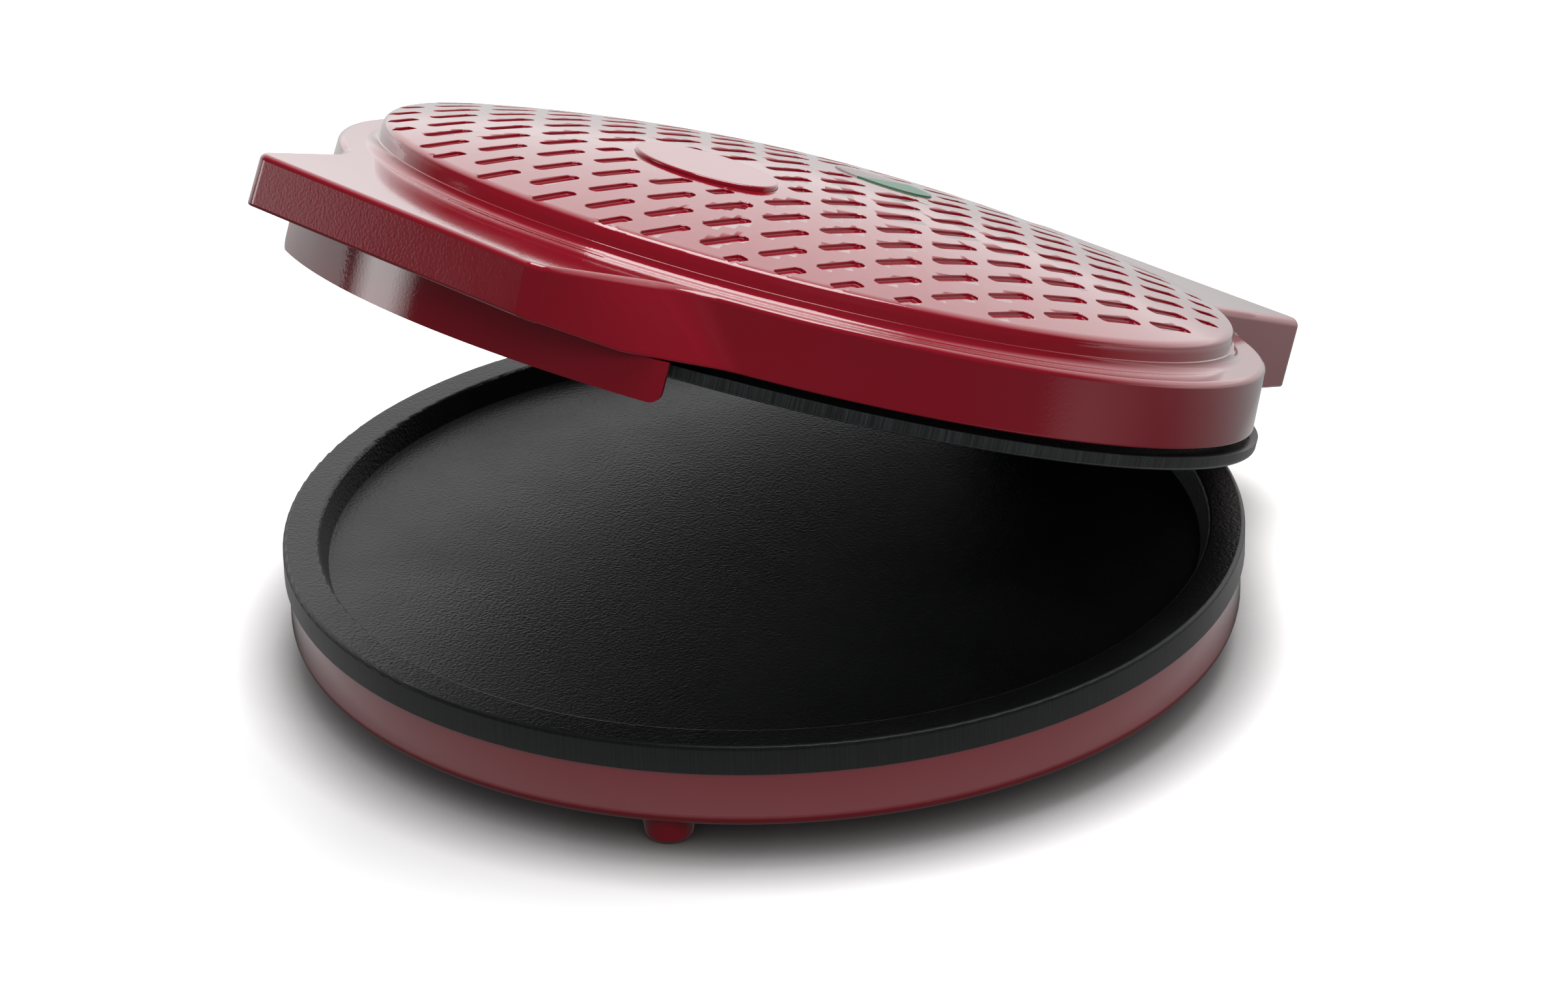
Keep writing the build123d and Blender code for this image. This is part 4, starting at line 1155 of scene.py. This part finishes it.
@dataclass
class Fasteners:
    """Every set of screws, each made by the same node tree from its own sizes."""

    head_r: float = 3.8
    head_h: float = 2.4
    shank_r: float = 1.9
    shank_sides: int = 20
    recess_w: float = 0.9
    recess_l: float = 4.0
    recess_depth: float = 1.2
    sets: tuple[ScrewSet, ...] = (
        ScrewSet("base_screws", Body.BASE, round_places(112.0, 4, 45.0), 13.2, 18.5, 32),
        ScrewSet("handle_screws", Body.LID, ((38.0, -176.0), (-38.0, -176.0)), 53.6, 11.0),
        ScrewSet("carrier_screws", Body.LID, ((18.0, 162.0), (-18.0, 162.0)), 56.0, 11.0),
        ScrewSet("upper_plate_screws", Body.LID, round_places(112.0, 4, 45.0), 65.3, -12.0),
    )

    def tree(self) -> NodeTree:
        """Geometry nodes that shape a screw from named sizes and put one at every point."""
        sizes = {
            "Head Radius": self.head_r,
            "Head Height": self.head_h,
            "Shank Radius": self.shank_r,
            "Shank Length": 10.0,
            "Recess Width": self.recess_w,
            "Recess Length": self.recess_l,
            "Recess Depth": self.recess_depth,
            "Turn": 0.0,
        }
        group, make = geometry_group("screws", sizes)
        sides = group.interface.new_socket("Head Sides", in_out="INPUT", socket_type="NodeSocketInt")
        sides.default_value = 6
        given = make.node("NodeGroupInput").outputs
        height, shank_l = given["Head Height"], given["Shank Length"]

        def moved(shape: Node, z: Any) -> Socket:
            """A shape with its middle at a height."""
            to = {"Geometry": shape.outputs[0], "Translation": make.xyz(z=z)}
            return make.node("GeometryNodeTransform", to).outputs[0]

        def cylinder(count: Any, radius: Any, depth: Any) -> Node:
            """An upright cylinder."""
            shape = {"Vertices": count, "Radius": radius, "Depth": depth}
            return make.node("GeometryNodeMeshCylinder", shape)

        head = cylinder(given["Head Sides"], given["Head Radius"], height)
        whole_l = make.math("MULTIPLY_ADD", height, 0.5, shank_l)
        shank = cylinder(self.shank_sides, given["Shank Radius"], whole_l)
        solid = make.node("GeometryNodeMeshBoolean", operation="UNION")
        shank_z = make.minus(shank_l, make.times(whole_l, 0.5))
        for shape, z in ((head, make.times(height, -0.5)), (shank, shank_z)):
            group.links.new(moved(shape, z), solid.inputs["Mesh 2"])
        cut = make.node("GeometryNodeMeshBoolean", {"Mesh 1": solid.outputs[0]}, operation="DIFFERENCE")
        wide, long_ = given["Recess Width"], given["Recess Length"]
        for x, y in ((wide, long_), (long_, wide)):
            size = make.xyz(x, y, make.times(given["Recess Depth"], 2.0))
            bar = make.node("GeometryNodeMeshCube", {"Size": size})
            group.links.new(moved(bar, make.times(height, -1.0)), cut.inputs["Mesh 2"])
        put = {"Points": given["Places"], "Instance": cut.outputs[0], "Rotation": make.xyz(given["Turn"])}
        end_group(make, make.node("GeometryNodeInstanceOnPoints", put).outputs[0], given["Finish"])
        return group

    def build(self, placing: Placing) -> None:
        """Makes each set of screws and puts it on its body."""
        tree = self.tree()
        for screws in self.sets:
            mesh = bpy.data.meshes.new("screw_places")
            mesh.from_pydata([(x, y, screws.seat) for x, y in screws.places], [], [])
            values = {
                "Shank Length": abs(screws.length),
                "Turn": math.pi if screws.length < 0 else 0.0,
                "Head Sides": screws.sides,
                "Finish": STEEL.build(),
            }
            made = smooth(grown(mesh, tree, values), 35.0)
            placing.piece(f"{screws.node}_set", made, screws.body, "steel", screws.node)


# Stage


@dataclass(frozen=True)
class Lamp:
    """A soft rectangular lamp that faces a height on the Z axis."""

    name: str
    place: Triple
    aim: float
    size: Point
    power: float
    mirrored: bool = True

    def build(self) -> None:
        """Adds the lamp."""
        data = bpy.data.lights.new(self.name, "AREA")
        data.shape = "RECTANGLE"
        data.size, data.size_y = self.size
        data.energy = self.power
        lamp = placed(self.name, data)
        way = Vector((0, 0, self.aim)) - Vector(self.place)
        turn = way.to_track_quat("-Z", "Y").to_matrix().to_4x4()
        lamp.matrix_world = Matrix.Translation(self.place) @ turn
        lamp.visible_glossy = self.mirrored


@dataclass
class Studio:
    """Plain pale floor and soft light, bright behind the oven and dim in front of it."""

    floor_half: float = 6.0
    back: Triple = (-0.5, 0.866, 0.0)
    front_shine: float = 0.05
    near: Point = (0.02, 0.40)
    near_shine: float = 0.6
    far: Point = (0.5, 1.7)
    far_shine: float = 0.4
    side_place: Triple = (0.62, 0.10, 0.0)
    side: Point = (0.08, 0.34)
    side_shine: float = 0.22
    close_place: Triple = (0.0, -0.021, 0.0)
    close_inner: Point = (0.168, 0.185)
    close_outer: Point = (0.19, 0.27)
    close_shine: float = 0.4
    behind_world: Point = (0.2, 0.75)
    plain_light: float = 0.24
    spot: Triple = (-0.827, -0.558, 0.070)
    spot_size: Point = (0.07, 0.20)
    spot_shine: float = 2.4
    contact: float = 0.028
    contact_power: float = 1.9
    seen_glow: float = 0.30
    floor_painted_shadow: Triple = (0.10, 0.085, 0.085)
    floor_pale: Triple = (1.5, 1.5, 1.5)
    floor_unseen: Triple = (0.2, 0.2, 0.2)
    floor_mirrored: Triple = (0.03, 0.03, 0.03)
    lamps: tuple[Lamp, ...] = (
        Lamp("key", (1.5, -0.9, 1.3), 0.08, (0.9, 0.7), 5.5, mirrored=False),
        Lamp("top", (-0.15, 0.40, 1.85), 0.05, (1.4, 1.1), 24.0),
    )

    def floor(self) -> None:
        """White floor that keeps the oven's soft shadow, with a painted shadow close under it, and is softer
        in what mirrors it, where it glows in painted reflections.
        """
        mesh = bpy.data.meshes.new("floor")
        h = self.floor_half
        mesh.from_pydata([(-h, -h, 0), (h, -h, 0), (h, h, 0), (-h, h, 0)], [], [(0, 1, 2, 3)])
        floor = placed("floor", mesh)
        material = bpy.data.materials.new("studio_floor")
        tree = cleared(material)
        rays = tree.node("ShaderNodeLightPath").outputs
        place = tree.node("ShaderNodeTexCoord").outputs["Object"]
        # Painted reflections: for glossy rays only, the floor glows in bands near, far, beside and close
        # round the oven, which the oven's glossy faces show as light
        away = tree.vector("DOT_PRODUCT", place, self.back)
        near = tree.span(away, *self.near, self.front_shine, self.near_shine)
        far = tree.span(away, *self.far, 0.0, self.far_shine)
        side = tree.span(tree.vector("DISTANCE", place, self.side_place), *self.side, self.side_shine, 0.0)
        ring = tree.vector("DISTANCE", place, self.close_place)
        inner = tree.span(ring, *self.close_inner, 0.0, self.close_shine)
        outer = tree.span(ring, *self.close_outer, self.close_shine, 0.0)
        close = tree.math("MINIMUM", inner, outer)
        shine = tree.plus(tree.plus(near, far), tree.math("MAXIMUM", side, close))
        # Painted shadow: close under the oven the floor darkens, by its ambient occlusion, faster than the
        # lamps alone would make it
        open_ = tree.node("ShaderNodeAmbientOcclusion", {"Distance": self.contact}, samples=16).outputs["AO"]
        clear = tree.math("POWER", open_, self.contact_power)
        seen = tree.times(rays["Is Camera Ray"], tree.times(clear, self.seen_glow))
        strength = tree.math("MULTIPLY_ADD", rays["Is Glossy Ray"], shine, seen)
        glow = tree.node("ShaderNodeEmission", {"Color": (1, 1, 1, 1), "Strength": strength})
        shaded = tree.mix(clear, rgba(self.floor_painted_shadow), rgba(self.floor_pale))
        matt_colour = tree.mix(rays["Is Camera Ray"], rgba(self.floor_unseen), shaded)
        matt_colour = tree.mix(rays["Is Glossy Ray"], matt_colour, rgba(self.floor_mirrored))
        matt = tree.node("ShaderNodeBsdfDiffuse", {"Color": matt_colour})
        both = tree.node("ShaderNodeAddShader", {0: glow.outputs[0], 1: matt.outputs[0]})
        tree.node("ShaderNodeOutputMaterial", {"Surface": both.outputs[0]})
        mesh.materials.append(material)

    def world(self) -> None:
        """Even light from all round, seen as white by the camera and brighter behind in what mirrors it."""
        world = bpy.data.worlds.new("studio")
        bpy.context.scene.world = world
        tree = cleared(world)
        rays = tree.node("ShaderNodeLightPath").outputs
        way = tree.node("ShaderNodeTexCoord").outputs["Generated"]
        along = tree.vector("DOT_PRODUCT", way, self.back)
        behind = tree.span(along, *self.behind_world, self.front_shine, 1.0)
        # A small soft light low at the front left shows on the guard under the handle
        spot = tree.span(tree.vector("DISTANCE", way, self.spot), *self.spot_size, self.spot_shine, 0.0)
        glossy = tree.times(rays["Is Glossy Ray"], tree.plus(behind, spot))
        other = tree.minus(1.0, rays["Is Glossy Ray"])
        camera = tree.math("MULTIPLY_ADD", rays["Is Camera Ray"], 1.0 - self.plain_light, self.plain_light)
        strength = tree.plus(glossy, tree.times(other, camera))
        light = tree.node("ShaderNodeBackground", {"Color": (1, 1, 1, 1), "Strength": strength})
        tree.node("ShaderNodeOutputWorld", {"Surface": light.outputs[0]})

    def build(self) -> None:
        """Sets up the floor, the light and the colour view."""
        self.floor()
        self.world()
        for lamp in self.lamps:
            lamp.build()
        bpy.context.scene.view_settings.view_transform = "Standard"


NODE_FINISHES: tuple[tuple[Finish, tuple[str, ...]], ...] = (
    (CRIMSON, ("base_housing", "handle_guard", "badge_plate")),
    (LOWER_CAST, ("lower_plate",)),
    (UPPER_CAST_PAINTED_LIGHTER, ("upper_plate",)),
    (RUBBER, ("foot_pads", "cord_inlet")),
    (STEEL, ("hinge_pin_left", "hinge_pin_right", "base_screws", "handle_screws", "carrier_screws")),
    (STEEL, ("upper_plate_screws", "lower_clamp_screws", "upper_clamp_screws")),
    (STEEL, ("lower_element_clamps", "upper_element_clamps")),
    (ALUMINIUM, ("lower_thermostat", "upper_thermostat", "lower_reflector", "lid_carrier", "thermal_fuse")),
    (SHEATH, ("lower_heating_element", "upper_heating_element")),
    (BLACK, ("terminal_block", "lamp_holder")),
    (CLEAR, ("indicator_lamps", "indicator_lens_left")),
    (GREEN, ("indicator_lens_right",)),
)


def dress_nodes(nodes: dict[str, Object]) -> None:
    """Gives the solids that stay shown their finishes."""
    for finish, names in NODE_FINISHES:
        for name in names:
            if name in nodes:
                dress(nodes[name].data, finish)


def main() -> None:
    """Builds the oven's looks in order."""
    logging.basicConfig(level=logging.INFO, format="%(message)s")
    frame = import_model()
    Camera().build(PLACING.middle_y)
    dress_nodes(frame["nodes"])
    LidCover().build(PLACING)
    Fasteners().build(PLACING)
    Studio().build()


if __name__ == "__main__":
    main()
